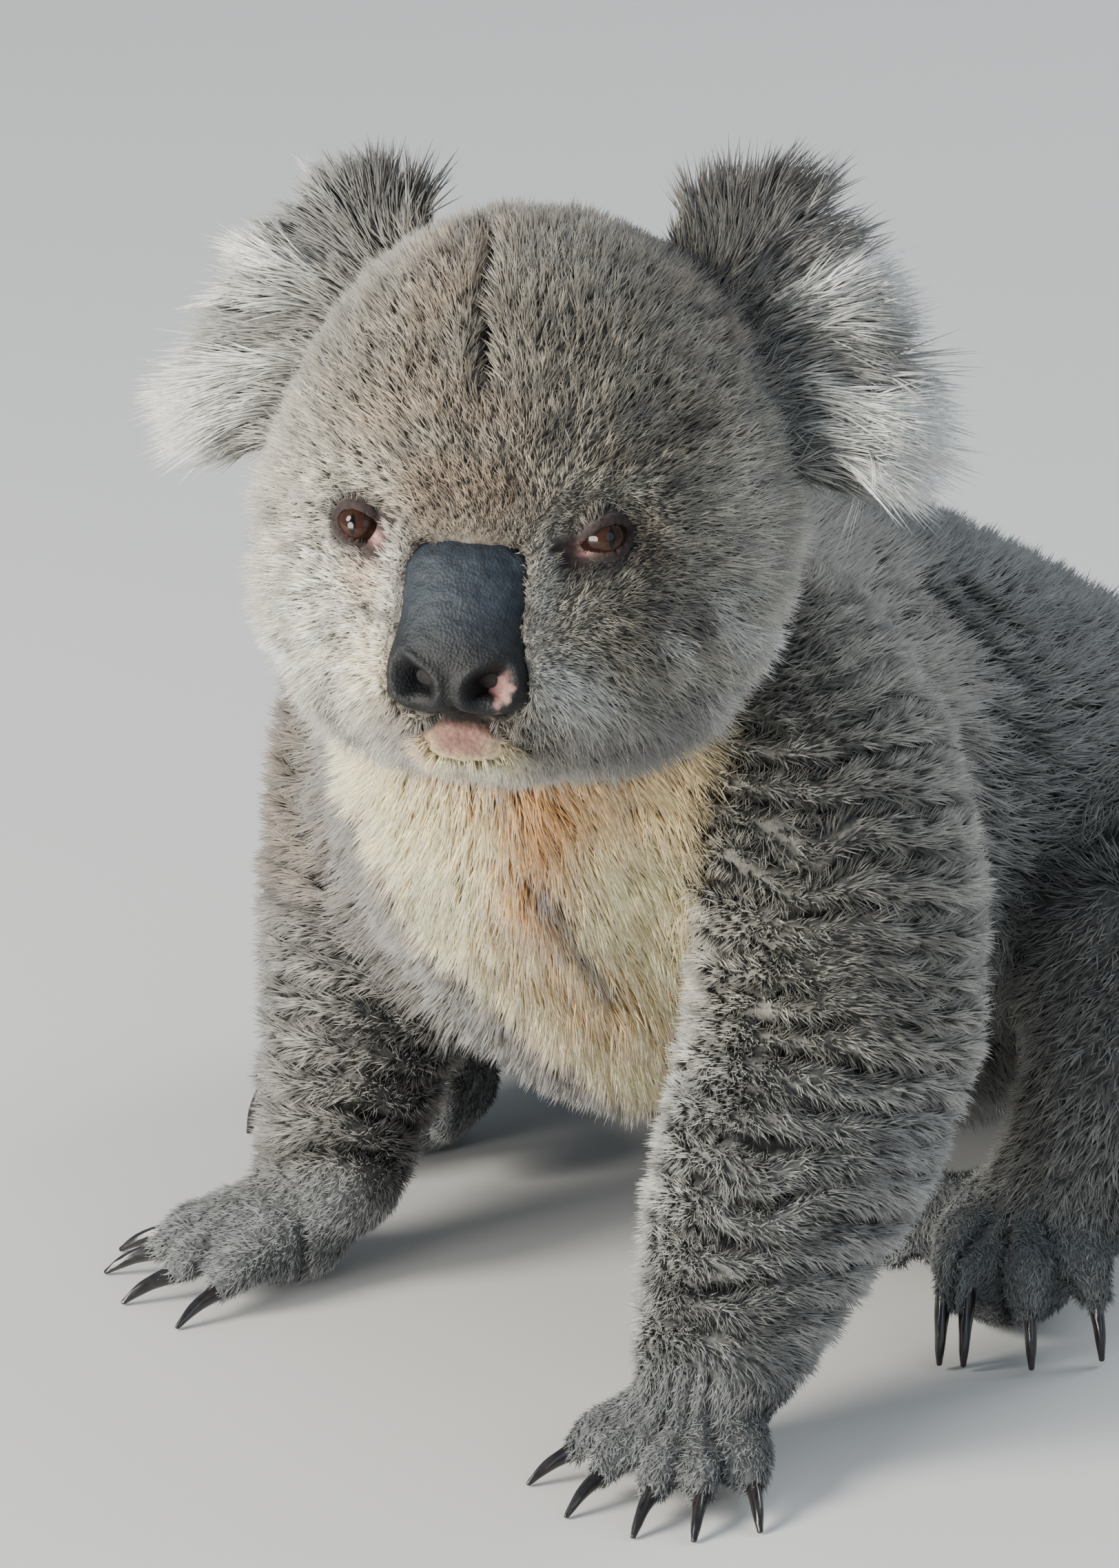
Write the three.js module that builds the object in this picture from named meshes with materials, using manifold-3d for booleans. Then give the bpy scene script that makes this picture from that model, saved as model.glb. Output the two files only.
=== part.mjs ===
// A life-size adult koala, sitting on its rump with its forepaws planted ahead of it and its head turned to
// its left. Millimetres, +Z up, standing on z = 0. The koala faces -Y, so +X is its left side. Every outline
// runs to the tips of the coat. Each body part is one closed solid with a thin gap to the next, and the eyes,
// the nose pad and the claws are pieces of their own, set into the flesh.
import * as THREE from "three";
import { LoftGeometry } from "three/addons/geometries/LoftGeometry.js";
import { mergeVertices } from "three/addons/utils/BufferGeometryUtils.js";
import Module from "manifold-3d";

const wasm = await Module();
wasm.setup();

const vec = (x, y, z) => new THREE.Vector3(x, y, z);
const radians = THREE.MathUtils.degToRad;
const sideways = vec(1, 0, 0);

// ---- driving sizes -------------------------------------------------------------------------------------

const gap = 0.4; // between neighbouring parts

const headPose = { at: vec(38, -60, 284), turn: 19, raise: 10, tilt: -2.2 }; // degrees: to its left, up, to its left
const eye = { side: 35, front: 45.5, up: 1.2, radius: 7.6 };
const orbit = { side: 40, front: 58, up: 1, wide: 17, deep: 9, high: 13, turn: 32 };
const nostril = { side: 12.5, front: 80, up: -34, wide: 5.5, deep: 8, high: 4, flare: 30 };
const ear = { side: 66, front: -30, up: 52, wide: 35, tall: 56, thick: 17, dish: 8, out: 14, lean: 20, roll: 22 };
const claw = { length: 18, base: 3 };

// The trunk from the neck to the rump: path points with the half-width, and the half-depth on the side of
// the back and on the side of the belly. Its cross-sections all lean alike, square to the spine.
const trunkStations = [
  { at: vec(18, -62, 232), wide: 44, high: 38, low: 40 },
  { at: vec(15, -38, 222), wide: 60, high: 60, low: 66 },
  { at: vec(8, -10, 206), wide: 75, high: 62, low: 80 },
  { at: vec(2, 22, 188), wide: 90, high: 70, low: 95 },
  { at: vec(0, 70, 162), wide: 103, high: 88, low: 112 },
  { at: vec(0, 130, 136), wide: 114, high: 93, low: 112 },
  { at: vec(0, 200, 110), wide: 120, high: 80, low: 107 },
  { at: vec(0, 262, 88), wide: 115, high: 64, low: 96 },
  { at: vec(0, 306, 70), wide: 98, high: 52, low: 80 },
  { at: vec(0, 337, 57), wide: 70, high: 38, low: 58 },
  { at: vec(0, 352, 49), wide: 38, high: 22, low: 36 },
];
const trunkNodes = { neck: [-300, -14], chest: [-14, 76], trunk: [76, 222], rump: [222, 600] };
const trunkLean = radians(24);
const spine = vec(0, Math.cos(trunkLean), -Math.sin(trunkLean)); // the way it runs, towards the rump

// The skull from the muzzle back: how far forward of the head's origin, half-width, top, bottom, and how
// much wider it is low down than high up.
const skullStations = [
  { front: 68, wide: 27, top: -16, bottom: -51, sag: 0.02 },
  { front: 61, wide: 37, top: 3, bottom: -57, sag: 0.06 },
  { front: 54, wide: 47, top: 27, bottom: -62, sag: 0.1 },
  { front: 44, wide: 59, top: 49, bottom: -67, sag: 0.14 },
  { front: 32, wide: 68, top: 68, bottom: -72, sag: 0.17 },
  { front: 14, wide: 76, top: 82, bottom: -76, sag: 0.17 },
  { front: -4, wide: 77, top: 88, bottom: -74, sag: 0.14 },
  { front: -22, wide: 74, top: 85, bottom: -67, sag: 0.08 },
  { front: -40, wide: 66, top: 74, bottom: -54, sag: 0.03 },
  { front: -56, wide: 50, top: 56, bottom: -38, sag: 0 },
].map(({ front, wide, top, bottom, sag }) => ({
  at: vec(0, -front, (top + bottom) / 2),
  wide,
  high: (top - bottom) / 2,
  sag,
}));

// The lower jaw, from the lip back to the throat, in the head's frame.
const jawStations = [
  { at: vec(0, -62, -55), wide: 17, high: 10 },
  { at: vec(0, -42, -58), wide: 29, high: 13 },
  { at: vec(0, -16, -62), wide: 37, high: 14 },
];

// The bare nose pad, from between the eyes down to the nostrils. High is its depth inwards, low its rise.
const padStations = [
  { at: vec(0, -52, 0), wide: 14, high: 8, low: 10 },
  { at: vec(0, -56, -10), wide: 17.5, high: 9, low: 12 },
  { at: vec(0, -61, -22), wide: 19.5, high: 9, low: 13 },
  { at: vec(0, -66, -34), wide: 21.5, high: 10, low: 13 },
  { at: vec(0, -68, -41), wide: 19, high: 10, low: 11 },
];

// The limbs, from inside the body down to the wrist or ankle.
const limbs = {
  arm_left: [
    { at: vec(54, 22, 212), wide: 50, high: 50 },
    { at: vec(86, 12, 188), wide: 49, high: 52 },
    { at: vec(105, 2, 160), wide: 46, high: 49 },
    { at: vec(112, -8, 126), wide: 46, high: 48 },
    { at: vec(106, -24, 86), wide: 42, high: 44 },
    { at: vec(100, -42, 50), wide: 33, high: 35 },
    { at: vec(98, -54, 26), wide: 24, high: 25 },
  ],
  arm_right: [
    { at: vec(-40, 36, 208), wide: 44, high: 46 },
    { at: vec(-64, 36, 186), wide: 44, high: 47 },
    { at: vec(-77, 36, 150), wide: 42, high: 45 },
    { at: vec(-81, 34, 112), wide: 40, high: 43 },
    { at: vec(-80, 22, 74), wide: 35, high: 37 },
    { at: vec(-76, 3, 44), wide: 27, high: 28 },
    { at: vec(-74, -8, 26), wide: 22, high: 23 },
  ],
  leg_left: [
    { at: vec(22, 262, 82), wide: 56, high: 62 },
    { at: vec(74, 214, 90), wide: 62, high: 72 },
    { at: vec(112, 156, 104), wide: 54, high: 62 },
    { at: vec(138, 116, 104), wide: 42, high: 46 },
    { at: vec(139, 106, 74), wide: 33, high: 35 },
    { at: vec(127, 97, 42), wide: 26, high: 28 },
    { at: vec(118, 92, 26), wide: 22, high: 24 },
  ],
};
limbs.leg_right = limbs.leg_left.map((station) => ({ ...station, at: station.at.clone().multiply(vec(-1, 1, 1)) }));

// Where each limb is parted: across which point, square to which direction.
const cuts = {
  elbow: { left: [vec(110, -8, 118), vec(0.1, 0.35, 1)], right: [vec(-90, 32, 112), vec(-0.1, 0.2, 1)] },
  wrist: { left: [vec(99, -52, 34), vec(0, 0.35, 1)], right: [vec(-75, -4, 34), vec(-0.2, 0.35, 1)] },
  knee: { left: [vec(130, 120, 96), vec(-0.3, 1, 0.35)], right: [vec(-130, 120, 96), vec(0.3, 1, 0.35)] },
  ankle: { left: [vec(122, 90, 44), vec(0.2, 0.2, 1)], right: [vec(-122, 90, 44), vec(-0.2, 0.2, 1)] },
};

// Each paw: its palm's centre and half-sizes, the way it points in degrees outward from straight ahead, the
// height, reach and drop of its digits, and in degrees how steeply its claws leave them and bend down. Each
// digit has its root to the side of and ahead of the centre, its fan outward in degrees and its length. It
// ends in one claw unless `claws` lists how far to the side each stands: the first toe of a hind foot has
// none, and the fused second and third toes have two on one digit.
const handShape = { wide: 22, long: 25, high: 17.5, reach: 24, knuckle: 15, thick: 8, drop: 7, pitch: 8, bend: 46 };
const footShape = { wide: 26, long: 34, high: 24, reach: 21, knuckle: 35, thick: 9, drop: 17, pitch: 52, bend: 34 };
const handDigits = [
  { across: -17, ahead: 2, fan: -40, long: 0.85 },
  { across: -10, ahead: 10, fan: -18, long: 0.95 },
  { across: 1, ahead: 13, fan: 0, long: 1 },
  { across: 10, ahead: 10, fan: 12, long: 1 },
  { across: 17, ahead: 3, fan: 27, long: 0.9 },
];
const footDigits = [
  { across: -20, ahead: -10, fan: -60, long: 0.8, claws: [] },
  { across: -15, ahead: 16, fan: -14, long: 0.95, claws: [-3.6, 3.6] },
  { across: 2, ahead: 19, fan: 0, long: 1 },
  { across: 18, ahead: 15, fan: 12, long: 1 },
];
const paws = {
  hand_left: { at: vec(97, -60, 16), point: 14, digits: handDigits, ...handShape },
  hand_right: { at: vec(-84, -18, 16), point: 55, digits: handDigits, ...handShape },
  foot_left: { at: vec(111, 86, 22), point: 40, digits: footDigits, ...footShape },
  foot_right: { at: vec(-113, 86, 22), point: 32, digits: footDigits, ...footShape },
};

// ---- shape helpers -------------------------------------------------------------------------------------

// A closed geometry as a solid: only its positions count, shared vertices are merged, slivers dropped.
function solid(geometry) {
  const bare = new THREE.BufferGeometry().setAttribute("position", geometry.getAttribute("position"));
  const merged = mergeVertices(bare.setIndex(geometry.index), 1e-3);
  const corners = Array.from(merged.index.array);
  const faces = Array.from({ length: corners.length / 3 }, (_, i) => corners.slice(3 * i, 3 * i + 3));
  const whole = faces.filter((face) => new Set(face).size === 3);
  const vertProperties = merged.getAttribute("position").array;
  return new wasm.Manifold(
    new wasm.Mesh({ numProp: 3, vertProperties, triVerts: new Uint32Array(whole.flat()) }),
  );
}

// A solid back as a geometry with flat faces.
function geometryOf(made) {
  const { vertProperties, triVerts } = made.getMesh();
  return new THREE.BufferGeometry()
    .setAttribute("position", new THREE.BufferAttribute(vertProperties, 3))
    .setIndex(new THREE.BufferAttribute(triVerts, 1))
    .toNonIndexed();
}

// The tapered oval body swept along a smooth path through stations. A station gives the path's point, the
// half-width along `side`, and the half-depths `high` and `low` either way across it. Its `sag` above 0
// widens the low half and narrows the high one. `square` above 2 makes the oval boxier. Domes close the
// ends, `dome` times the least half-size deep. The rings stand square to the path, or to `facing` if it is
// given. `grow` swells the body all round.
function swept(stations, { side = sideways, facing, rings, sides, dome = 0.6, domeRings = 1, square = 2, grow = 0 }) {
  const through = (points) => new THREE.CatmullRomCurve3(points, false, "catmullrom", 0.5);
  const path = through(stations.map((s) => s.at));
  const spans = through(stations.map((s) => vec(s.wide, s.high ?? s.wide, s.low ?? s.high ?? s.wide)));
  const sags = through(stations.map((s) => vec(s.sag ?? 0, 0, 0)));
  const rounded = (value) => Math.sign(value) * Math.abs(value) ** (2 / square);
  const ring = (t, shift, scale) => {
    const along = facing ?? path.getTangent(t);
    const across = side.clone().addScaledVector(along, -side.dot(along)).normalize();
    const above = vec(0, 0, 0).crossVectors(across, along);
    const span = spans.getPoint(t);
    const sag = sags.getPoint(t).x;
    return Array.from({ length: sides }, (_, i) => {
      const angle = (-2 * Math.PI * i) / sides;
      const [u, v] = [rounded(Math.cos(angle)), rounded(Math.sin(angle))];
      const width = (span.x + grow) * (1 - sag * v);
      const depth = (v > 0 ? span.y : span.z) + grow;
      const centre = path.getPoint(t).addScaledVector(along, shift);
      return centre.addScaledVector(across, scale * width * u).addScaledVector(above, scale * depth * v);
    });
  };
  const domeAt = (t, way) => {
    const depth = dome * Math.min(...spans.getPoint(t).toArray()) + grow;
    return Array.from({ length: domeRings }, (_, i) => {
      const lift = (Math.PI / 2) * ((i + 1) / (domeRings + 1));
      return ring(t, way * depth * Math.cos(lift), Math.sin(lift));
    });
  };
  const body = Array.from({ length: rings + 1 }, (_, i) => ring(i / rings, 0, 1));
  const sections = [...domeAt(0, -1), ...body, ...domeAt(1, 1).reverse()];
  return solid(new LoftGeometry(sections, { capStart: true, capEnd: true }));
}

// A ball of three half-sizes, turned and placed by a matrix.
function ball(x, y, z, matrix, around) {
  const geometry = new THREE.SphereGeometry(1, around, Math.round(around / 2)).rotateX(Math.PI / 2);
  return solid(geometry.scale(x, y, z).applyMatrix4(matrix));
}

// All that lies beyond a plane through a point, on the side that the direction points to, as a large box.
function beyond([point, direction], offset = 0) {
  const reach = 1000;
  const away = direction.clone().normalize();
  const centre = point.clone().addScaledVector(away, offset + reach / 2);
  const turn = new THREE.Quaternion().setFromUnitVectors(vec(0, 0, 1), away);
  const geometry = new THREE.BoxGeometry(reach, reach, reach).applyQuaternion(turn);
  return solid(geometry.translate(...centre));
}

const joined = (first, ...others) => others.reduce((whole, other) => whole.add(other), first);
const without = (first, ...others) => others.reduce((left, other) => left.subtract(other), first);
const above = ([point, direction]) => beyond([point, direction], gap / 2);
const below = ([point, direction]) => beyond([point, direction.clone().negate()], gap / 2);
const floor = beyond([vec(0, 0, 0), vec(0, 0, -1)]);

// The largest piece of a solid that a cut has left in several.
const largest = (made) =>
  made.decompose().reduce((best, piece) => (piece.volume() > best.volume() ? piece : best));

// ---- head ------------------------------------------------------------------------------------------------

// The head's own frame: x to the koala's left, -y forward out of the muzzle, z to the crown.
const headMatrix = new THREE.Matrix4()
  .makeTranslation(headPose.at)
  .multiply(new THREE.Matrix4().makeRotationZ(radians(headPose.turn)))
  .multiply(new THREE.Matrix4().makeRotationX(radians(-headPose.raise)))
  .multiply(new THREE.Matrix4().makeRotationY(radians(headPose.tilt)));
const headPoint = (x, front, up) => headMatrix.clone().multiply(new THREE.Matrix4().makeTranslation(x, -front, up));
const onHead = (made) => made.transform(headMatrix.toArray());

const skull = (grow = 0) =>
  onHead(swept(skullStations, { facing: vec(0, 1, 0), rings: 13, sides: 24, square: 2.2, dome: 0.35, domeRings: 2, grow }));

// The face is hollowed a little round each eye.
const orbitHollow = (hand) => {
  const { side, front, up, wide, deep, high, turn } = orbit;
  const place = headPoint(hand * side, front, up).multiply(new THREE.Matrix4().makeRotationZ(radians(hand * turn)));
  return ball(wide, deep, high, place, 8);
};

const lowerJaw = (grow = 0) => onHead(swept(jawStations, { rings: 5, sides: 12, dome: 0.7, grow }));

const nosePad = (grow = 0) =>
  onHead(swept(padStations, { rings: 6, sides: 12, square: 2.6, dome: 0.4, grow }));

const nostrilHollow = (hand) => {
  const { side, front, up, wide, deep, high, flare } = nostril;
  const place = headPoint(hand * side, front, up).multiply(new THREE.Matrix4().makeRotationZ(radians(hand * flare)));
  return ball(wide, deep, high, place, 10);
};

const eyeball = (hand, grow = 0) => {
  const radius = eye.radius + grow;
  return ball(radius, radius, radius, headPoint(hand * eye.side, eye.front, eye.up), 10);
};

// An ear is a thick disc out to the tips of its fringe, dished forwards. Its outline |x|^n + |y|^n = 1 is
// rounder than a box and boxier than an oval. It leans back and its top rolls in over the crown.
function earDisc(hand) {
  const geometry = new THREE.SphereGeometry(1, 16, 8).rotateX(Math.PI / 2);
  const position = geometry.getAttribute("position");
  for (let i = 0; i < position.count; i++) {
    const [x, y, z] = [position.getX(i), position.getY(i), position.getZ(i)];
    const rim = Math.hypot(x, y);
    const boxy = rim > 0 ? rim / (Math.abs(x) ** 2.5 + Math.abs(y) ** 2.5) ** (1 / 2.5) : 1;
    position.setXYZ(i, x * boxy * ear.wide, -z * ear.thick - ear.dish * rim ** 2, y * boxy * ear.tall);
  }
  const place = headPoint(hand * ear.side, ear.front, ear.up)
    .multiply(new THREE.Matrix4().makeRotationZ(radians(hand * ear.out)))
    .multiply(new THREE.Matrix4().makeRotationX(radians(-ear.lean)))
    .multiply(new THREE.Matrix4().makeRotationY(radians(-hand * ear.roll)));
  return solid(geometry.applyMatrix4(place));
}

// ---- trunk and limbs -------------------------------------------------------------------------------------

const torso = (grow = 0) =>
  swept(trunkStations, { facing: spine, rings: 14, sides: 22, square: 2.15, dome: 0.4, grow });

// A digit runs level from its knuckle and bends down to its tip.
function digitFrame(paw, { across, ahead, fan, long }, mirror) {
  const face = radians(paw.point * mirror);
  const heading = face + radians(fan * mirror);
  const root = paw.at
    .clone()
    .addScaledVector(vec(Math.sin(face), -Math.cos(face), 0), ahead)
    .addScaledVector(vec(Math.cos(face), Math.sin(face), 0), across * mirror);
  const forward = vec(Math.sin(heading), -Math.cos(heading), 0);
  const side = vec(Math.cos(heading), Math.sin(heading), 0);
  const point = (share, fall) =>
    root.clone().addScaledVector(forward, paw.reach * long * share).setZ(paw.knuckle - paw.drop * fall);
  return { forward, side, points: [point(0, 0), point(0.5, 0.12), point(0.85, 0.5), point(1, 1)] };
}

function digitFlesh(frame, thick) {
  const stations = frame.points.map((at, i) => ({ at, wide: thick * [1.1, 1.05, 0.95, 0.72][i] }));
  return swept(stations, { side: frame.side, rings: 2, sides: 6, dome: 0.8 });
}

// A claw is an arc that leaves the digit's tip at a pitch and bends on down to a point at the floor.
function clawHorn(paw, frame, aside, grow) {
  const tip = frame.points[3].clone().addScaledVector(frame.side, aside);
  const [pitch, bend] = [radians(paw.pitch), radians(paw.bend)];
  const radius = claw.length / bend;
  const stations = [-0.25, 0.25, 0.65, 1].map((share) => {
    const turned = pitch + share * bend;
    const ahead = radius * (Math.sin(turned) - Math.sin(pitch));
    const fall = radius * (Math.cos(pitch) - Math.cos(turned));
    const at = tip.clone().addScaledVector(frame.forward, ahead).setZ(Math.max(tip.z + 1 - fall, 1));
    const thick = claw.base * (1 - 0.78 * Math.max(0, share));
    return { at, wide: thick, high: thick * 1.3 };
  });
  return swept(stations, { side: frame.side, rings: 2, sides: 4, dome: 0.8, grow });
}

// A paw's flesh is a low palm joined with its digits; its claws are pieces of their own.
function pawPieces(name) {
  const paw = paws[name];
  const mirror = name.endsWith("left") ? 1 : -1;
  const turn = new THREE.Matrix4().makeRotationZ(radians(paw.point * mirror));
  const place = new THREE.Matrix4().makeTranslation(paw.at).multiply(turn);
  const frames = paw.digits.map((digit) => digitFrame(paw, digit, mirror));
  const palm = ball(paw.wide, paw.long, paw.high, place, 10);
  const flesh = joined(palm, ...frames.map((frame) => digitFlesh(frame, paw.thick)));
  const clawed = frames.flatMap((frame, i) => (paw.digits[i].claws ?? [0]).map((aside) => ({ frame, aside })));
  return { flesh, claws: (grow = 0) => clawed.map(({ frame, aside }) => clawHorn(paw, frame, aside, grow)) };
}

// ---- assembly --------------------------------------------------------------------------------------------

const finish = (color, roughness) => new THREE.MeshStandardMaterial({ color, roughness, metalness: 0, flatShading: true });
const finishes = {
  greyCoat: finish(0x7d756b, 0.95),
  headCoat: finish(0x8b8071, 0.95),
  paleCoat: finish(0xd9cfae, 0.95),
  earCoat: finish(0xb9b6ae, 0.95),
  pawCoat: finish(0x9c968c, 0.95),
  lip: finish(0xb08a80, 0.6),
  nose: finish(0x2b3038, 0.55),
  eye: finish(0x3a1d10, 0.1),
  horn: finish(0x1d1a1a, 0.35),
};

const koala = new THREE.Group();
function add(name, made, material) {
  const mesh = new THREE.Mesh(geometryOf(largest(made)), material);
  mesh.name = name;
  koala.add(mesh);
}

const hands = { left: 1, right: -1 };
const skullRoom = skull(gap);
const jawRoom = lowerJaw(gap);
const torsoRoom = torso(gap);
const headRoom = joined(skullRoom, jawRoom);

const faceHollows = [nosePad(gap), ...[1, -1].flatMap((hand) => [orbitHollow(hand), eyeball(hand, gap)])];
add("head", without(skull(), ...faceHollows), finishes.headCoat);
add("jaw", without(lowerJaw(), skullRoom, nosePad(gap)), finishes.lip);
add("nose", without(nosePad(), nostrilHollow(1), nostrilHollow(-1)), finishes.nose);
for (const [side, hand] of Object.entries(hands)) {
  add(`eye_${side}`, eyeball(hand), finishes.eye);
  add(`ear_${side}`, without(earDisc(hand), skullRoom, torsoRoom), finishes.earCoat);
}

const torsoFlesh = without(torso(), headRoom, floor);
for (const [name, [front, back]] of Object.entries(trunkNodes)) {
  const slice = torsoFlesh
    .intersect(above([vec(0, front, 150), spine]))
    .intersect(below([vec(0, back, 150), spine]));
  add(name, slice, name === "chest" ? finishes.paleCoat : finishes.greyCoat);
}

// A limb is its swept length joined with its paw, kept clear of the body and parted at its two joints.
function addLimb(side, { limb, paw, upper, lower, joints: [high, low] }) {
  const { flesh, claws } = pawPieces(`${paw}_${side}`);
  const length = swept(limbs[`${limb}_${side}`], { rings: 6, sides: 12, dome: 0.6 });
  const whole = without(joined(length, flesh), torsoRoom, headRoom, floor, ...claws(gap));
  const [upperCut, lowerCut] = [cuts[high][side], cuts[low][side]];
  add(`${upper}_${side}`, whole.intersect(above(upperCut)).intersect(above(lowerCut)), finishes.greyCoat);
  add(`${lower}_${side}`, whole.intersect(below(upperCut)).intersect(above(lowerCut)), finishes.greyCoat);
  add(`${paw}_${side}`, whole.intersect(below(lowerCut)), finishes.pawCoat);
  claws().forEach((horn, i) => add(`${paw}_${side}_claw_${i + 1}`, without(horn, floor), finishes.horn));
}

for (const side of Object.keys(hands)) {
  addLimb(side, { limb: "arm", paw: "hand", upper: "upper_arm", lower: "forearm", joints: ["elbow", "wrist"] });
  addLimb(side, { limb: "leg", paw: "foot", upper: "thigh", lower: "shank", joints: ["knee", "ankle"] });
}

// The origin is under the middle of the whole koala's box, on the floor.
const box = new THREE.Box3().setFromObject(koala);
const middle = box.getCenter(vec(0, 0, 0));
koala.position.set(-middle.x, -middle.y, 0);

export default koala;
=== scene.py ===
import bmesh
import bpy
import numpy as np
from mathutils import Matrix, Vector
from mathutils.bvhtree import BVHTree


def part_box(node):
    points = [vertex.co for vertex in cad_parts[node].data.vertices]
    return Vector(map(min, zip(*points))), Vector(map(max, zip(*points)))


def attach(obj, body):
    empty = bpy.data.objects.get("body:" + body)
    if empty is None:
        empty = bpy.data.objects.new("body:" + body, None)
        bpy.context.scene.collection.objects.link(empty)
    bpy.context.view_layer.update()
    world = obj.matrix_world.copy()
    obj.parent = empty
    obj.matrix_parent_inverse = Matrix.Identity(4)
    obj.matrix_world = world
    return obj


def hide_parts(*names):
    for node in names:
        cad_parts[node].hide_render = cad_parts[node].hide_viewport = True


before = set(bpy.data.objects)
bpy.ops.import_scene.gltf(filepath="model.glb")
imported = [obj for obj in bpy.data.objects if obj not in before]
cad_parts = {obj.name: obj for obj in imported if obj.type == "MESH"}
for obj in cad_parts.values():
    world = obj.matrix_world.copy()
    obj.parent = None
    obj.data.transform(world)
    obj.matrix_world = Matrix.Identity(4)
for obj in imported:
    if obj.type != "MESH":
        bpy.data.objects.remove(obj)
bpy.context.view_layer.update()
mm = 0.001
print("frame loaded")


def turn(axis, degrees):  # a rotation matrix about x, y or z
    c, s = np.cos(np.radians(degrees)), np.sin(np.radians(degrees))
    a, b = [(1, 2), (2, 0), (0, 1)]["xyz".index(axis)]
    made = np.eye(3)
    made[a, a], made[a, b], made[b, a], made[b, b] = c, -s, s, c
    return made


def centreOf(node):
    return np.mean([np.array(corner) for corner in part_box(node)], axis=0)


# The head's own frame in mm: x to the koala's left, -y out of the muzzle, z to the crown.
headPose = dict(turn=19, raiseBy=10, tilt=-2.2, eyeFront=45.5, eyeUp=1.2)
headTurn = turn("z", headPose["turn"]) @ turn("x", -headPose["raiseBy"]) @ turn("y", headPose["tilt"])
betweenEyes = (centreOf("eye_left") + centreOf("eye_right")) / 2
headAt = betweenEyes - headTurn @ np.array([0, -headPose["eyeFront"], headPose["eyeUp"]]) * mm


def toHead(points):
    return (points - headAt) @ headTurn / mm


def fromHead(points):
    return np.asarray(points, float) @ headTurn.T * mm + headAt


def unit(vectors):
    return vectors / np.maximum(np.linalg.norm(vectors, axis=-1, keepdims=True), 1e-9)


def smooth(low, high, value):  # 0 below low, 1 above high, eased between
    t = np.clip((value - low) / (high - low), 0, 1)
    return t * t * (3 - 2 * t)


def blob(value, middle, spread):  # a soft hill of height 1
    return np.exp(-(((value - middle) / spread) ** 2))


def mound(across, up, middle, spread):  # the same over two measures
    return np.exp(-(((across - middle[0]) / spread[0]) ** 2 + ((up - middle[1]) / spread[1]) ** 2))


def lattice(corner, seed):  # a number from 0 to 1 for each whole-numbered corner
    x, y, z = corner[..., 0], corner[..., 1], corner[..., 2]
    mixed = (x * 73856093) ^ (y * 19349663) ^ (z * 83492791) ^ (seed * 2654435)
    mixed = (mixed ^ (mixed >> 13)) * 1274126177
    return ((mixed ^ (mixed >> 16)) & 0xFFFF) / 65535.0


def noise(points, size, seed):  # smooth value noise from -1 to 1, its features about size across
    scaled = points / size
    cell = np.floor(scaled).astype(np.int64)
    t = scaled - cell
    t = t * t * (3 - 2 * t)
    total = 0
    for dx in (0, 1):
        for dy in (0, 1):
            for dz in (0, 1):
                near = [t[:, k] if step else 1 - t[:, k] for k, step in enumerate((dx, dy, dz))]
                total = total + near[0] * near[1] * near[2] * lattice(cell + np.array([dx, dy, dz]), seed)
    return total * 2 - 1


def meshArrays(mesh):  # vertices and triangles
    mesh.calc_loop_triangles()
    verts = np.empty(len(mesh.vertices) * 3)
    faces = np.empty(len(mesh.loop_triangles) * 3, np.int32)
    mesh.vertices.foreach_get("co", verts)
    mesh.loop_triangles.foreach_get("vertices", faces)
    return verts.reshape(-1, 3), faces.reshape(-1, 3)


def newPiece(name, verts, faces, material=None, shadeSmooth=True):
    mesh = bpy.data.meshes.new(name)
    sides = faces.shape[1]
    mesh.vertices.add(len(verts))
    mesh.vertices.foreach_set("co", np.ascontiguousarray(verts, np.float32).ravel())
    mesh.loops.add(faces.size)
    mesh.loops.foreach_set("vertex_index", np.ascontiguousarray(faces, np.int32).ravel())
    mesh.polygons.add(len(faces))
    mesh.polygons.foreach_set("loop_start", np.arange(len(faces), dtype=np.int32) * sides)
    mesh.update(calc_edges=True)
    mesh.polygons.foreach_set("use_smooth", np.full(len(faces), shadeSmooth))
    piece = bpy.data.objects.new(name, mesh)
    bpy.context.scene.collection.objects.link(piece)
    if material:
        mesh.materials.append(material)
    return piece


def joinArrays(parts):
    verts, faces, start = [], [], 0
    for partVerts, partFaces in parts:
        verts.append(partVerts)
        faces.append(partFaces + start)
        start += len(partVerts)
    return np.concatenate(verts), np.concatenate(faces)


def gridFaces(rows, columns):  # quads between the points of a grid, closed round its columns
    row, column = np.arange(rows - 1)[:, None], np.arange(columns)[None, :]
    nextRow, nextColumn = row + 1, (column + 1) % columns
    corners = [row * columns + column, row * columns + nextColumn,
               nextRow * columns + nextColumn, nextRow * columns + column]
    return np.stack([np.broadcast_to(c, (rows - 1, columns)) for c in corners], -1).reshape(-1, 4)


def tubeFaces(rows, around):  # triangles over a closed tube of rings, with a fan over each end
    quads = gridFaces(rows, around)
    fan = np.stack([np.zeros(around - 2, int), np.arange(1, around - 1), np.arange(2, around)], -1)
    return np.concatenate([quads[:, [0, 1, 2]], quads[:, [0, 2, 3]], fan[:, ::-1], fan + (rows - 1) * around])


def remeshed(parts, voxel):  # one closed surface round all the parts, in even small faces
    verts, faces = joinArrays(parts)
    blank = newPiece("blank", verts, faces)
    cut = blank.modifiers.new("cut", "REMESH")
    cut.mode, cut.voxel_size = "VOXEL", voxel
    result = bpy.data.meshes.new_from_object(blank.evaluated_get(bpy.context.evaluated_depsgraph_get()))
    made = meshArrays(result)
    bpy.data.objects.remove(blank)
    bpy.data.meshes.remove(result)
    return made


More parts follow.
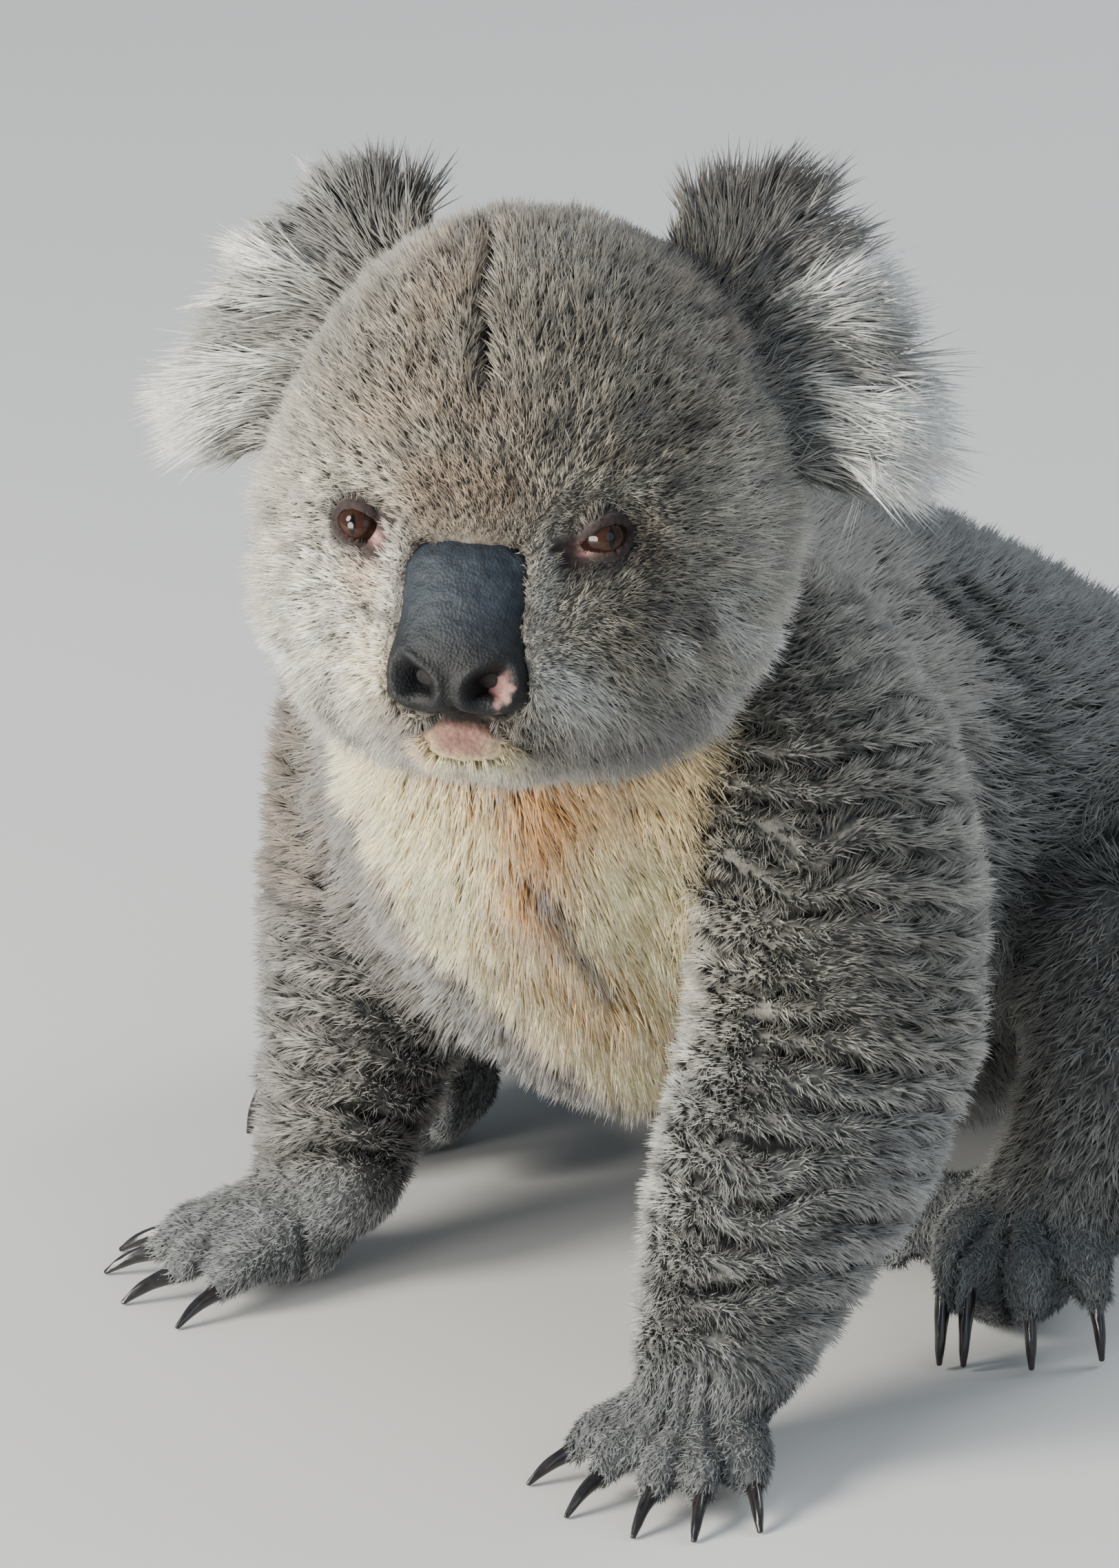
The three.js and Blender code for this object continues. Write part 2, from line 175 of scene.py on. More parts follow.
def neighbourTable(faces, count):  # where each vertex's neighbours start in the list, the list, and how many
    pairs = np.concatenate([faces[:, [0, 1]], faces[:, [1, 2]], faces[:, [2, 0]]])
    pairs = np.unique(np.concatenate([pairs, pairs[:, ::-1]]), axis=0)
    owners, others = pairs.T
    return np.searchsorted(owners, np.arange(count)), others, np.bincount(owners, minlength=count)


def relax(values, table, times, share=0.5):  # each value moves towards the mean of its neighbours
    starts, others, counts = table
    counts = counts[:, None] if values.ndim > 1 else counts
    for _ in range(times):
        values = values + share * (np.add.reduceat(values[others], starts, axis=0) / counts - values)
    return values


def normalsOf(verts, faces):
    a, b, c = verts[faces[:, 0]], verts[faces[:, 1]], verts[faces[:, 2]]
    across = np.cross(b - a, c - a)
    total = np.stack([
        sum(np.bincount(faces[:, k], across[:, j], len(verts)) for k in range(3)) for j in range(3)], -1)
    return unit(total)


# The camera's way and distance from the head, with its aim in mm, and the floor, air and lamps. A lamp has
# its place round the koala in metres, its size, watts and colour.
stageSet = dict(
    azimuth=35, elevation=21, distance=3.0, focal=237.36, sensor=36, clip=30, aim=(-8.8, 29.0, -94.9),
    floorHalf=6, floorTone=(0.74, 0.73, 0.71), floorRoughness=0.9,
    air=(0.76, 0.88, 1.0), airStrength=0.5, lampAim=(0, 0, 0.18),
    lamps=dict(
        key=((-1.15, -1.9, 1.25), 1.0, 76, (1.0, 0.96, 0.86)),
        front=((-0.4, -2.0, 0.30), 0.9, 52, (1.0, 0.97, 0.9)),
        fill=((2.3, -1.1, 0.9), 1.6, 8, (0.70, 0.85, 1.0)),
        back=((0.9, 1.9, 1.9), 1.4, 30, (0.92, 0.96, 1.0))))


def makeStage():
    azimuth, elevation = np.radians(stageSet["azimuth"]), np.radians(stageSet["elevation"])
    level = np.cos(elevation)
    away = np.array([np.sin(azimuth) * level, -np.cos(azimuth) * level, np.sin(elevation)])
    aim = headAt + np.array(stageSet["aim"]) * mm
    lens = bpy.data.cameras.new("camera")
    lens.lens, lens.sensor_width, lens.clip_end = stageSet["focal"], stageSet["sensor"], stageSet["clip"]
    camera = bpy.data.objects.new("camera", lens)
    camera.location = Vector(aim + away * stageSet["distance"])
    camera.rotation_euler = Vector(away).to_track_quat("Z", "Y").to_euler()
    bpy.context.scene.collection.objects.link(camera)
    bpy.context.scene.camera = camera

    half = stageSet["floorHalf"]
    floorVerts = np.array([[-half, -half, 0], [half, -half, 0], [half, half, 0], [-half, half, 0]], float)
    paper = newMaterial(
        "floorPaper", Base_Color=(*stageSet["floorTone"], 1), Roughness=stageSet["floorRoughness"])[0]
    newPiece("floor", floorVerts, np.array([[0, 1, 2, 3]]), paper)

    world = bpy.data.worlds.new("studio")
    world.use_nodes = True
    air = world.node_tree.nodes["Background"]
    air.inputs["Color"].default_value = (*stageSet["air"], 1)
    air.inputs["Strength"].default_value = stageSet["airStrength"]
    bpy.context.scene.world = world
    for name, (place, size, watts, colour) in stageSet["lamps"].items():
        light = bpy.data.lights.new(name, "AREA")
        light.shape, light.size, light.energy, light.color = "DISK", size, watts, colour
        lamp = bpy.data.objects.new(name, light)
        lamp.location = place
        lamp.rotation_euler = (Vector(place) - Vector(stageSet["lampAim"])).to_track_quat("Z", "Y").to_euler()
        bpy.context.scene.collection.objects.link(lamp)


def newMaterial(name, **values):  # a material, its nodes and its shader, whose sockets are set by name
    material = bpy.data.materials.new(name)
    material.use_nodes = True
    shader = material.node_tree.nodes["Principled BSDF"]
    for key, value in values.items():
        shader.inputs[key.replace("_", " ")].default_value = value
    return material, material.node_tree, shader


makeStage()
print("stage made")


fleshNodes = [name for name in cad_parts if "claw" not in name and not name.startswith(("eye", "ear"))]
regionNames = sorted(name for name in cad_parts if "claw" not in name and not name.startswith("eye"))
region = {name: i for i, name in enumerate(regionNames)}


def shareOf(weights, *names):  # how much of the nodes whose names start so is at each point
    return sum(weights[:, region[name]] for name in regionNames if name.startswith(names))


# How far the skin lies under the tips of the coat, the hair's length and its width, in mm.
coatSet = dict(
    head=(5.5, 8, 1.4), jaw=(3.5, 7, 1.25), nose=(2.5, 0, 0), neck=(8, 16, 2.0), chest=(8, 17, 2.1),
    trunk=(7.5, 12, 2.15), rump=(7, 12, 2.3), upper_arm=(6, 8.5, 1.65), forearm=(5, 8, 1.6),
    hand=(0.9, 4.2, 1.25), thigh=(7, 11, 2.2), shank=(5, 9, 1.9), foot=(0.9, 4.2, 1.25), ear=(0, 15, 1.5))


def coatOf(name):
    return coatSet[name if name in coatSet else name.rsplit("_", 1)[0]]


def fieldOf(weights, column):
    return weights @ np.array([coatOf(name)[column] for name in regionNames], float)


# The ears in mm in the head's frame, turned by degrees. Their hair fans out from fanFrom. For the left ear
# (1) and the right one (-1): how far the top's hair leans inward, the length added at the tips, how far out
# the dark band runs, and how bright the pale locks are.
earSet = dict(
    side=66, behind=30, up=52, wide=27, tall=43, thick=4.2, dish=10, out=14, lean=20, roll=22, boxy=2.4,
    around=48, rows=24, fanFrom=(-32, 9), inward={1: 0.75, -1: 0.6}, tips={1: 3.5, -1: -2.5},
    bandOut={1: 16, -1: 0}, bright={1: 1.1, -1: 0.8})


def earTurn(hand):
    return turn("z", hand * earSet["out"]) @ turn("x", -earSet["lean"]) @ turn("y", -hand * earSet["roll"])


def earAt(hand):
    return np.array([hand * earSet["side"], earSet["behind"], earSet["up"]])


def toEar(points, hand):  # mm in the ear's frame: x across, -y forward, z up
    return (toHead(points) - earAt(hand)) @ earTurn(hand)


def earFields(points, hand):
    # How far out to the rim each point is, and how much it is outside, in front and in the dark band.
    x, y, z = toEar(points, hand).T
    rim = np.sqrt(((x * hand + 3) / earSet["wide"]) ** 2 + ((z + 5) / earSet["tall"]) ** 2)
    outer = smooth(-0.35, 0.45, 0.75 * x * hand / earSet["wide"] - 0.5 * z / earSet["tall"])
    dark = smooth(6, 32, z) * smooth(20, -10, x * hand - earSet["bandOut"][hand])
    return rim, outer, smooth(6, -3, y), dark


def earLocks(points, hand):  # from 0 to 1, in narrow bands that fan out from the ear's inner side
    x, y, z = toEar(points, hand).T
    along, rise = x * hand - earSet["fanFrom"][0], z - earSet["fanFrom"][1]
    bearing, reach = np.arctan2(rise, along), np.hypot(rise, along) / 40
    return smooth(-0.4, 0.3, noise(np.stack([bearing * 9, reach, y * 0.1], -1), 1, 19))


def earBlank(hand):
    # A dished lens: a superellipse outline, its rim brought forward by dish times the radius squared.
    around, rows = earSet["around"], earSet["rows"]
    angle = np.linspace(0, 2 * np.pi, around, endpoint=False)[None, :]
    polar = np.linspace(0.02, np.pi - 0.02, rows)[:, None]
    radius, side = np.sin(polar), np.cos(polar)
    x, z = np.cos(angle), np.sin(angle)
    boxy = 1 / (np.abs(x) ** earSet["boxy"] + np.abs(z) ** earSet["boxy"]) ** (1 / earSet["boxy"])
    local = np.stack(np.broadcast_arrays(
        -hand * 3 + radius * boxy * x * earSet["wide"],
        -side * earSet["thick"] - earSet["dish"] * radius ** 2 + 2,
        -5 + radius * boxy * z * earSet["tall"]), -1).reshape(-1, 3)
    head = local @ earTurn(hand).T + earAt(hand)
    return fromHead(head), tubeFaces(rows, around)


# The skin: its two remesh sizes in metres, how often its shape, regions and depth are evened out, how much
# of the paws' shape is kept, and in mm the radius of each finer mesh round the eyes and mouth.
skinSet = dict(
    coarse=0.0026, fine=0.0028, blend=14, spread=22, depthBlend=10, pawsKeep=0.97, bareDepth=2.0,
    finish=4, finishKeep=0.85, detail=(17, 11), floorGap=0.8)


def cadArrays(name):
    return meshArrays(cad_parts[name].data)


def regionWeights(verts, table):  # how much of each CAD node is near each vertex, evened out over the skin
    parts, owner = [], []
    for name in regionNames:
        part = cadArrays(name)
        parts.append(part)
        owner.append(np.full(len(part[1]), region[name]))
    allVerts, allFaces = joinArrays(parts)
    tree = BVHTree.FromPolygons(allVerts.tolist(), allFaces.tolist())
    owner = np.concatenate(owner)
    nearest = owner[[tree.find_nearest(point)[2] for point in verts.tolist()]]
    weights = np.eye(len(regionNames))[nearest]
    return relax(weights, table, skinSet["spread"], 0.6)


def faceDepth(verts):  # how near the bare middle of the face a point is, from 0 to 1
    x, y, z = toHead(verts).T
    muzzle = mound(x, z, (0, -24), (34, 34))
    eyes = mound(np.abs(x), z, (35, 1), (20, 17))
    return np.clip(smooth(20, 62, -y) * np.maximum(muzzle, eyes) * 1.25, 0, 1)


def coatDepth(points, depth):  # how far the skin lies under the coat's tips, less round the eyes and muzzle
    return depth + (skinSet["bareDepth"] - depth) * faceDepth(points)


def evenShare(weights, keep):  # how much each vertex is evened out, little on the paws
    return 0.5 * (1 - keep * smooth(0.15, 0.5, shareOf(weights, "hand", "foot")))[:, None]


def makeSkinShape():
    blanks = [cadArrays(name) for name in fleshNodes + ["eye_left", "eye_right"]]
    verts, faces = remeshed(blanks, skinSet["coarse"])
    table = neighbourTable(faces, len(verts))
    weights = regionWeights(verts, table)
    verts = relax(verts, table, skinSet["blend"], evenShare(weights, skinSet["pawsKeep"]))
    depth = coatDepth(verts, relax(fieldOf(weights, 0), table, skinSet["depthBlend"]))
    verts = verts - normalsOf(verts, faces) * depth[:, None] * mm
    return remeshed([(verts, faces), earBlank(1), earBlank(-1)], skinSet["fine"])


def refined(verts, faces, near):  # each face whose corners are all near is split in four
    mesh = bpy.data.meshes.new("refine")
    mesh.from_pydata(verts.tolist(), [], faces.tolist())
    body = bmesh.new()
    body.from_mesh(mesh)
    body.verts.ensure_lookup_table()
    edges = [edge for edge in body.edges if near[edge.verts[0].index] and near[edge.verts[1].index]]
    bmesh.ops.subdivide_edges(body, edges=edges, cuts=1, use_grid_fill=True)
    bmesh.ops.triangulate(body, faces=body.faces)
    body.to_mesh(mesh)
    made = meshArrays(mesh)
    body.free()
    bpy.data.meshes.remove(mesh)
    return made


# The eyes in the head's frame: the way each opening faces, in degrees outward and up, and its slant. The
# opening's half length, its heights over and under the middle, the iris and the slit pupil are in mm.
# Corner is how bright the pink inner corner is.
eyeSet = dict(
    radius=7.6, facing={1: 36, -1: 4}, lift=4, slant=20, long=6.4, upper={1: 3.7, -1: 4.4}, lower=4.0,
    iris=4.9, pupil=(0.95, 3.2), rows=64, around=72, inset=0.25, bulge=0.55,
    corner={1: 0.55, -1: 1})


def eyeFrame(hand):
    # The eye's centre in mm in the head's frame, and its axes: outward, up, and out of the head.
    facing, slant, lift = np.radians([eyeSet["facing"][hand], eyeSet["slant"] * hand, eyeSet["lift"]])
    out = np.array([hand * np.sin(facing) * np.cos(lift), -np.cos(facing) * np.cos(lift), np.sin(lift)])
    side = unit(np.cross(out, [0, 0, 1]))
    up = np.cross(side, out)
    up = up if up[2] > 0 else -up
    side = side if side[0] > 0 else -side
    c, s = np.cos(slant), np.sin(slant)
    axes = np.stack([side * c + up * s, up * c - side * s, out], -1)
    return toHead(centreOf("eye_left" if hand > 0 else "eye_right")), axes


def outsideLids(across, up, hand):  # mm outside the opening between the lids, negative inside it
    lateral = across * hand
    reach = np.where(lateral < 0, eyeSet["long"] + 1.2, eyeSet["long"])
    bow = np.clip(1 - (across / reach) ** 2, 0, 1) ** 0.62
    beyond = np.maximum(np.abs(across) - reach, 0) * 1.7
    return np.maximum(up - eyeSet["upper"][hand] * bow, -up - eyeSet["lower"] * bow) + beyond


def eyeOffsets(points, hand):  # in the eye's frame, and how far outside its lids each point is
    centre, axes = eyeFrame(hand)
    local = (toHead(points) - centre) @ axes
    reach = np.linalg.norm(local, axis=1)
    flat = local[:, :2] / np.maximum(reach, 1e-6)[:, None] * eyeSet["radius"]
    gapOut = outsideLids(flat[:, 0], flat[:, 1], hand) + np.where(local[:, 2] < 0, 20, 0)
    return local, reach, gapOut


def shapeLids(verts, hand):
    # Distance from the eye's centre: behind its surface inside the opening, a rounded rim just over it at
    # the edge, and from there easing back to the face.
    centre, axes = eyeFrame(hand)
    local, reach, gapOut = eyeOffsets(verts, hand)
    r = eyeSet["radius"]
    rim = r + 0.95 + 0.35 * blob(gapOut, 1.1, 0.8) - 0.5 * blob(gapOut, 3.4, 0.9)
    near = 1 - smooth(2.6, 9.0, gapOut)
    wanted = np.where(gapOut < -0.25, r - 1.4, rim)
    near = near * (1 - smooth(15, 20, reach))
    made = reach + (wanted - reach) * near
    moved = local / np.maximum(reach, 1e-6)[:, None] * made[:, None]
    return fromHead(moved @ axes.T + centre)


# The mouth in mm: the line between the lips, how far its corners drop, its depth, and the lower lip.
mouthSet = dict(
    up=-49.5, wide=19, drop=9, depth=4.5, line=1.5, lipUp=-55.5, lipWide=10.5, lipTall=6.5, lipRise=1.2)


def mouthLine(x):  # the height of the line between the lips, falling towards its corners
    return mouthSet["up"] - mouthSet["drop"] * (np.abs(x) / mouthSet["wide"]) ** 2


def mouthFields(points):  # the line between the lips, and the bare lower lip under it
    x, y, z = toHead(points).T
    front = smooth(40, 56, -y)
    span = 1 - smooth(mouthSet["wide"] * 0.8, mouthSet["wide"] * 1.15, np.abs(x))
    line = blob(z, mouthLine(x), mouthSet["line"]) * span * front
    lip = np.exp(-((x / mouthSet["lipWide"]) ** 4 + ((z - mouthSet["lipUp"]) / mouthSet["lipTall"]) ** 4))
    return line, lip * front * (z < mouthLine(x) + 0.5)


# The furrows of the coat in mm: their period along the arms and on the flank, their depth and the width of
# the crown's parting, with how much lighter the ridges of the arms are painted, a painted light that also
# darkens their furrows as painted shade.
furrowSet = dict(period=12.5, flankPeriod=15, depth=4.4, parting=2.3, ridge=0.3)


def furrowPhase(p):  # in mm; the furrows of the arms lie a quarter of a period past each whole one
    return p[:, 2] + 0.22 * p[:, 1] - 0.12 * np.abs(p[:, 0]) + noise(p, 30, 3) * 8 + noise(p, 13, 4) * 2.5


def furrowField(points, weights):
    # Partings across the coat, where the skin and the hair are darkened as painted shade: the crests of a
    # warped wave along the arms, broken up by noise, slanting folds on the flank behind them, and a parting up
    # the crown.
    p = points / mm
    limb = np.sin(2 * np.pi * furrowPhase(p) / furrowSet["period"])
    onArms = smooth(0.35, 0.9, shareOf(weights, "forearm", "upper_arm"))
    lines = smooth(0.3, 0.7, limb) * smooth(-0.4, 0.0, noise(p, 20, 5)) * onArms
    lines = lines * smooth(28, 60, p[:, 2]) * (1 - smooth(205, 235, p[:, 2]))

    warp = noise(p, 30, 3) * 7 + noise(p, 13, 4) * 2.5
    flank = np.sin(2 * np.pi * (0.75 * p[:, 1] + 0.62 * p[:, 2] + warp * 1.2) / furrowSet["flankPeriod"])
    behind = weights[:, region["chest"]] + weights[:, region["trunk"]] * (1 - smooth(10, 60, p[:, 1]))
    behind = behind * smooth(40, 80, np.abs(p[:, 0])) * smooth(70, 110, p[:, 2])
    folds = smooth(0.5, 0.95, flank) * smooth(-0.2, 0.4, noise(p, 24, 6)) * smooth(0.3, 0.8, behind)

    x, y, z = toHead(points).T
    partAt = 0.3 - 0.25 * (z - 42) + 1.1 * noise(p, 7, 8)
    crown = smooth(36, 44, z) * smooth(84, 76, z)
    parting = blob(x, partAt, furrowSet["parting"]) * crown * (y < 0) * weights[:, region["head"]]
    return np.clip(np.maximum.reduce([lines, folds * 0.8, parting]), 0, 1)


# The dips between the digits in mm: half-width, depth, and how far behind the paw's middle they start.
digitSet = dict(wide=1.9, depth=3.2, behind=12)


def clawsOf(paw):
    return sorted(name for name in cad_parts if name.startswith(paw + "_claw"))


def creaseField(points, weights):
    # The dips between the digits: where a point lies as near to one digit's line as to the next one's, a
    # line running from the middle of the paw to each claw.
    total = np.zeros(len(points))
    behind = digitSet["behind"] * mm
    for paw in ("hand_left", "hand_right", "foot_left", "foot_right"):
        middle = centreOf(paw)[:2]
        ends = np.array([centreOf(name)[:2] for name in clawsOf(paw)])
        along = ends - middle
        length = np.linalg.norm(along, axis=1)
        along = along / length[:, None]
        offset = points[:, None, :2] - (middle - along * behind)[None]
        run = np.sum(offset * along[None], axis=2)
        aside = np.abs(offset[..., 0] * along[None, :, 1] - offset[..., 1] * along[None, :, 0])
        aside = np.sort(np.where(run > 0, aside, 0.1), axis=1)
        ahead = smooth(0.30, 0.55, np.max(run / (length[None] + behind), axis=1))
        between = blob(aside[:, 1] - aside[:, 0], 0, digitSet["wide"] * mm)
        total += between * ahead * smooth(0.3, 0.8, weights[:, region[paw]])
    return np.clip(total, 0, 1) * smooth(1.5 * mm, 5 * mm, points[:, 2])


# Soft swellings and hollows of the face on both sides: middle across and up, spread, and rise in mm.
reliefSet = [
    ((36, 15), (15, 6), 1.8), ((27, -12), (6, 12), -1.8), ((21, -40), (11, 8), 2.0),
    ((50, -24), (15, 15), 2.2), ((33, -54), (10, 6), -1.5), ((13, 24), (9, 12), 1.0)]


def faceRelief(points):
    x, y, z = toHead(points).T
    rise = sum(high * mound(np.abs(x), z, middle, spread) for middle, spread, high in reliefSet)
    return rise * smooth(5, 25, -y)


# The nose pad's outline on the skin in mm: its half-width at each height, and the skin's depth under it.
padSet = dict(
    up=(-50, -43, -34, -22, -10, -2, 4), half=(15, 20.2, 20.4, 18.8, 18.4, 17, 9), margin=1.2, depth=4)


def padNearness(points):  # 1 where the nose pad covers the skin, 0 just outside its edge
    x, y, z = toHead(points).T
    half = np.interp(z, padSet["up"], padSet["half"])
    edge = np.minimum(half - padSet["margin"] - np.abs(x), np.minimum(-padSet["margin"] - z, z + 49))
    return smooth(-padSet["margin"], 0.4, edge) * (y < -44)


def nearDetail(verts, radius):  # round each eye and over the mouth
    head = toHead(verts)
    eyes = [np.linalg.norm(head - eyeFrame(hand)[0] - [0, -4, 0], axis=1) < radius for hand in (1, -1)]
    mouth = (np.abs(head[:, 0]) < radius * 1.3) & (np.abs(head[:, 2] + 52) < radius * 0.9) & (head[:, 1] < -48)
    return eyes[0] | eyes[1] | mouth


def finishSkinShape(verts, faces):
    for radius in skinSet["detail"]:
        verts, faces = refined(verts, faces, nearDetail(verts, radius))
    table = neighbourTable(faces, len(verts))
    weights = regionWeights(verts, table)
    verts = relax(verts, table, skinSet["finish"], evenShare(weights, skinSet["finishKeep"]))
    for hand in (1, -1):
        verts = shapeLids(verts, hand)
    line, lip = mouthFields(verts)
    inwards = line * mouthSet["depth"] - lip * mouthSet["lipRise"]
    inwards = inwards + furrowField(verts, weights) * furrowSet["depth"] - faceRelief(verts)
    inwards = inwards + padNearness(verts) * padSet["depth"] + creaseField(verts, weights) * digitSet["depth"]
    verts = verts - normalsOf(verts, faces) * inwards[:, None] * mm
    verts[:, 2] = np.maximum(verts[:, 2], skinSet["floorGap"] * mm)
    return verts, faces, weights


skinVerts, skinFaces = makeSkinShape()
skinVerts, skinFaces, skinWeights = finishSkinShape(skinVerts, skinFaces)
skinNormals = normalsOf(skinVerts, skinFaces)
print("skin shape", len(skinVerts), "points", len(skinFaces), "triangles")


def tone(red, green, blue):  # a screen colour from 0 to 255 as linear light
    value = np.array([red, green, blue]) / 255
    return np.where(value <= 0.04045, value / 12.92, ((value + 0.055) / 1.055) ** 2.4)


hairTones = dict(
    body=tone(138, 134, 125), back=tone(110, 109, 105), crown=tone(142, 134, 121), rust=tone(136, 112, 90),
    cheek=tone(196, 190, 174), white=tone(226, 225, 218), cream=tone(243, 223, 174), stain=tone(204, 142, 72),
    dark=tone(58, 53, 50), chin=tone(80, 73, 67), peach=tone(200, 166, 132), paw=tone(128, 133, 136),
    black=tone(26, 23, 22), earBack=tone(96, 92, 87), slate=tone(35, 42, 50), soot=tone(11, 12, 14),
    lip=tone(136, 98, 88), lid=tone(47, 35, 34), corner=tone(190, 142, 134))


def paint(base, mask, colour):
    return base + np.clip(mask, 0, 1)[:, None] * (colour - base)


# Marks of the face: the tone, its strength, its middle across and up, and its spreads. The first list is on
# both sides alike, and each mark of the second is in one place. The second also holds painted shade over the
# koala's left side of the face and painted warm light on its right cheek.
faceMarks = dict(
    both=[
        ("cheek", 0.5, (34, 14), (15, 5)), ("white", 0.55, (22, -14), (4, 18)),
        ("rust", 0.5, (10, 12), (11, 7)), ("white", 0.6, (27, -36), (7, 8))],
    single=[
        # The chin marks and the dark marks under, over and behind the left eye lie on the side of the face in
        # shade: partly darker fur, partly painted shade.
        ("chin", 0.95, (38, -55), (24, 13)), ("white", 0.9, (31, -42), (8, 6)),
        ("dark", 0.7, (31, -8), (6, 4.5)), ("dark", 0.6, (13.7, 11), (3, 4)),
        ("dark", 0.55, (38, 21), (4, 3)), ("dark", 0.4, (-10.5, 8), (3, 3)),
        # Painted warm light on the right cheek: the peach and cream marks.
        ("peach", 0.6, (-31, -13), (7, 6)), ("cream", 0.55, (-27, -36), (9, 10)),
        ("chin", 0.5, (52, -22), (12, 10)), ("dark", 0.45, (44, -4), (7, 4)),
        ("dark", 0.35, (60, 30), (9, 14)), ("cheek", 0.4, (-6, -66), (22, 7)),
        ("chin", 0.45, (48, -14), (20, 22)), ("chin", 0.8, (54, -52), (13, 12)),
        ("white", 0.35, (-44, -20), (16, 24))])


def faceColour(points, blotch):
    p = points / mm
    x, y, z = toHead(points).T
    side, ahead = np.abs(x), smooth(8, 30, -y)
    face = np.tile(hairTones["crown"], (len(p), 1))
    face = paint(face, smooth(0.0, 0.45, blotch) * 0.42, hairTones["rust"])
    face = paint(face, 0.65 * smooth(38, 64, side) * smooth(55, 10, z), hairTones["cheek"])
    face = paint(face, 0.6 * smooth(6, -24, z) * smooth(18, 34, side) * ahead, hairTones["cheek"])
    for across, marks in ((side, faceMarks["both"]), (x, faceMarks["single"])):
        for name, strength, middle, spread in marks:
            face = paint(face, strength * (mound(across, z, middle, spread) * ahead), hairTones[name])
    face = paint(face, 0.8 * smooth(-30, -56, z) * smooth(60, 71, side), hairTones["white"])
    face = paint(face, 0.85 * smooth(0.01, 0.25, mouthFields(points)[1]), hairTones["lip"] * 0.9)
    for hand in (1, -1):
        reach, gapOut = eyeOffsets(points, hand)[1:]
        lidEdge = (1 - smooth(2.0, 3.4, gapOut)) * (1 - smooth(10, 14, reach))
        face = paint(face, 0.7 * lidEdge, hairTones["dark"])
    face = paint(face, smooth(-15, -60, z) * smooth(-20, 10, y), hairTones["body"])
    patch = smooth(0.2, 0.6, noise(p, 6.5, 15)) * 0.42 + smooth(0.25, 0.65, noise(p, 3.4, 16)) * 0.3
    face = paint(face, patch * smooth(-80, -40, z), hairTones["dark"] * 1.3)
    edgeLocks = smooth(0.0, 0.4, noise(p, 5, 26)) * smooth(-5, -32, z)
    return paint(face, 0.85 * edgeLocks * smooth(46, 60, side) * smooth(40, 15, y), hairTones["white"])


# The bib in mm: its middle across and half-width on the belly, each with what is added further up, how
# ragged its edge is, and where the front of the body lies at each height. Then the rusty stain, the golden
# middle and the painted shade along a crease: across, how wide, and how strong.
bibSet = dict(
    across=26, throatAcross=8, half=14, chestHalf=32, throatHalf=34, ragged=9,
    frontUp=(40, 80, 118, 155, 205), frontAt=(-70, -104, -141, -165, -190), shade=0.6, rust=0.5,
    stainAcross=31, stainThroat=14, stainWide=9, stain=0.85, goldenWide=20, goldenUp=128, goldenTall=34,
    throatStain=0.5, creaseAcross=38, creaseWide=3.2, crease=0.9, inner=0.8)


def frontOf(p, weights):  # how much each point is on the front of the neck, chest and belly
    behind = p[:, 1] - np.interp(p[:, 2], bibSet["frontUp"], bibSet["frontAt"])
    return shareOf(weights, "neck", "chest", "jaw", "trunk") * smooth(72, 42, behind)


def paintBib(colour, p, weights, blotch, front):
    # Cream over the throat and chest, narrowing down the belly, with a rusty stain and painted shade along a
    # crease.
    across, up = p[:, 0], p[:, 2]
    middle = bibSet["across"] + bibSet["throatAcross"] * smooth(150, 205, up)
    half = bibSet["half"] + bibSet["chestHalf"] * smooth(75, 150, up)
    half = half + bibSet["throatHalf"] * smooth(150, 200, up)
    edge = half - np.abs(across - middle) + blotch * bibSet["ragged"]
    onChest = shareOf(weights, "neck", "chest") * front
    colour = colour * (1 - bibSet["shade"] * onChest)[:, None]
    colour = paint(colour, bibSet["rust"] * onChest, hairTones["rust"] * 0.45)
    colour = paint(colour, smooth(-5, 9, edge) * front * smooth(60, 84, up), hairTones["cream"])

    stainLine = bibSet["stainAcross"] + bibSet["stainThroat"] * smooth(150, 205, up)
    stain = blob(across, stainLine, bibSet["stainWide"] + 4 * blotch) * smooth(128, 165, up) * front
    golden = blob(across, bibSet["across"], bibSet["goldenWide"]) * front
    golden = golden * blob(up, bibSet["goldenUp"], bibSet["goldenTall"]) * (0.45 + 0.3 * blotch)
    colour = paint(colour, np.maximum(stain * bibSet["stain"], golden), hairTones["stain"])
    underHead = smooth(172, 204, up) * front * (shareOf(weights, "head", "jaw", "nose") < 0.5)
    colour = paint(colour, bibSet["throatStain"] * underHead * blob(across, 48, 34), hairTones["stain"])

    # Painted shade along a crease in the bib, darkening the colour without a fold in the skin.
    crease = blob(across, bibSet["creaseAcross"] - 0.05 * (165 - up), bibSet["creaseWide"])
    crease = crease * smooth(118, 140, up) * (1 - smooth(172, 188, up))
    colour = paint(colour, crease * front * bibSet["crease"], hairTones["dark"] * 1.2)
    inner = smooth(50, 24, np.abs(across - bibSet["across"])) * smooth(120, 140, up)
    inner = inner * shareOf(weights, "upper_arm", "forearm")
    return paint(colour, inner * bibSet["inner"], hairTones["cream"])


# The limbs: how grey the paws and the lower limbs are, how much darker the hands and the right arm are
# painted as painted shade, how warm each arm, and how strong the pale dapples low on the rump.
limbSet = dict(
    paws=0.75, lower=0.35, handShade=0.25, rightShade=0.48, rightWarm=0.45, leftWarm=0.6, dapple=0.5)


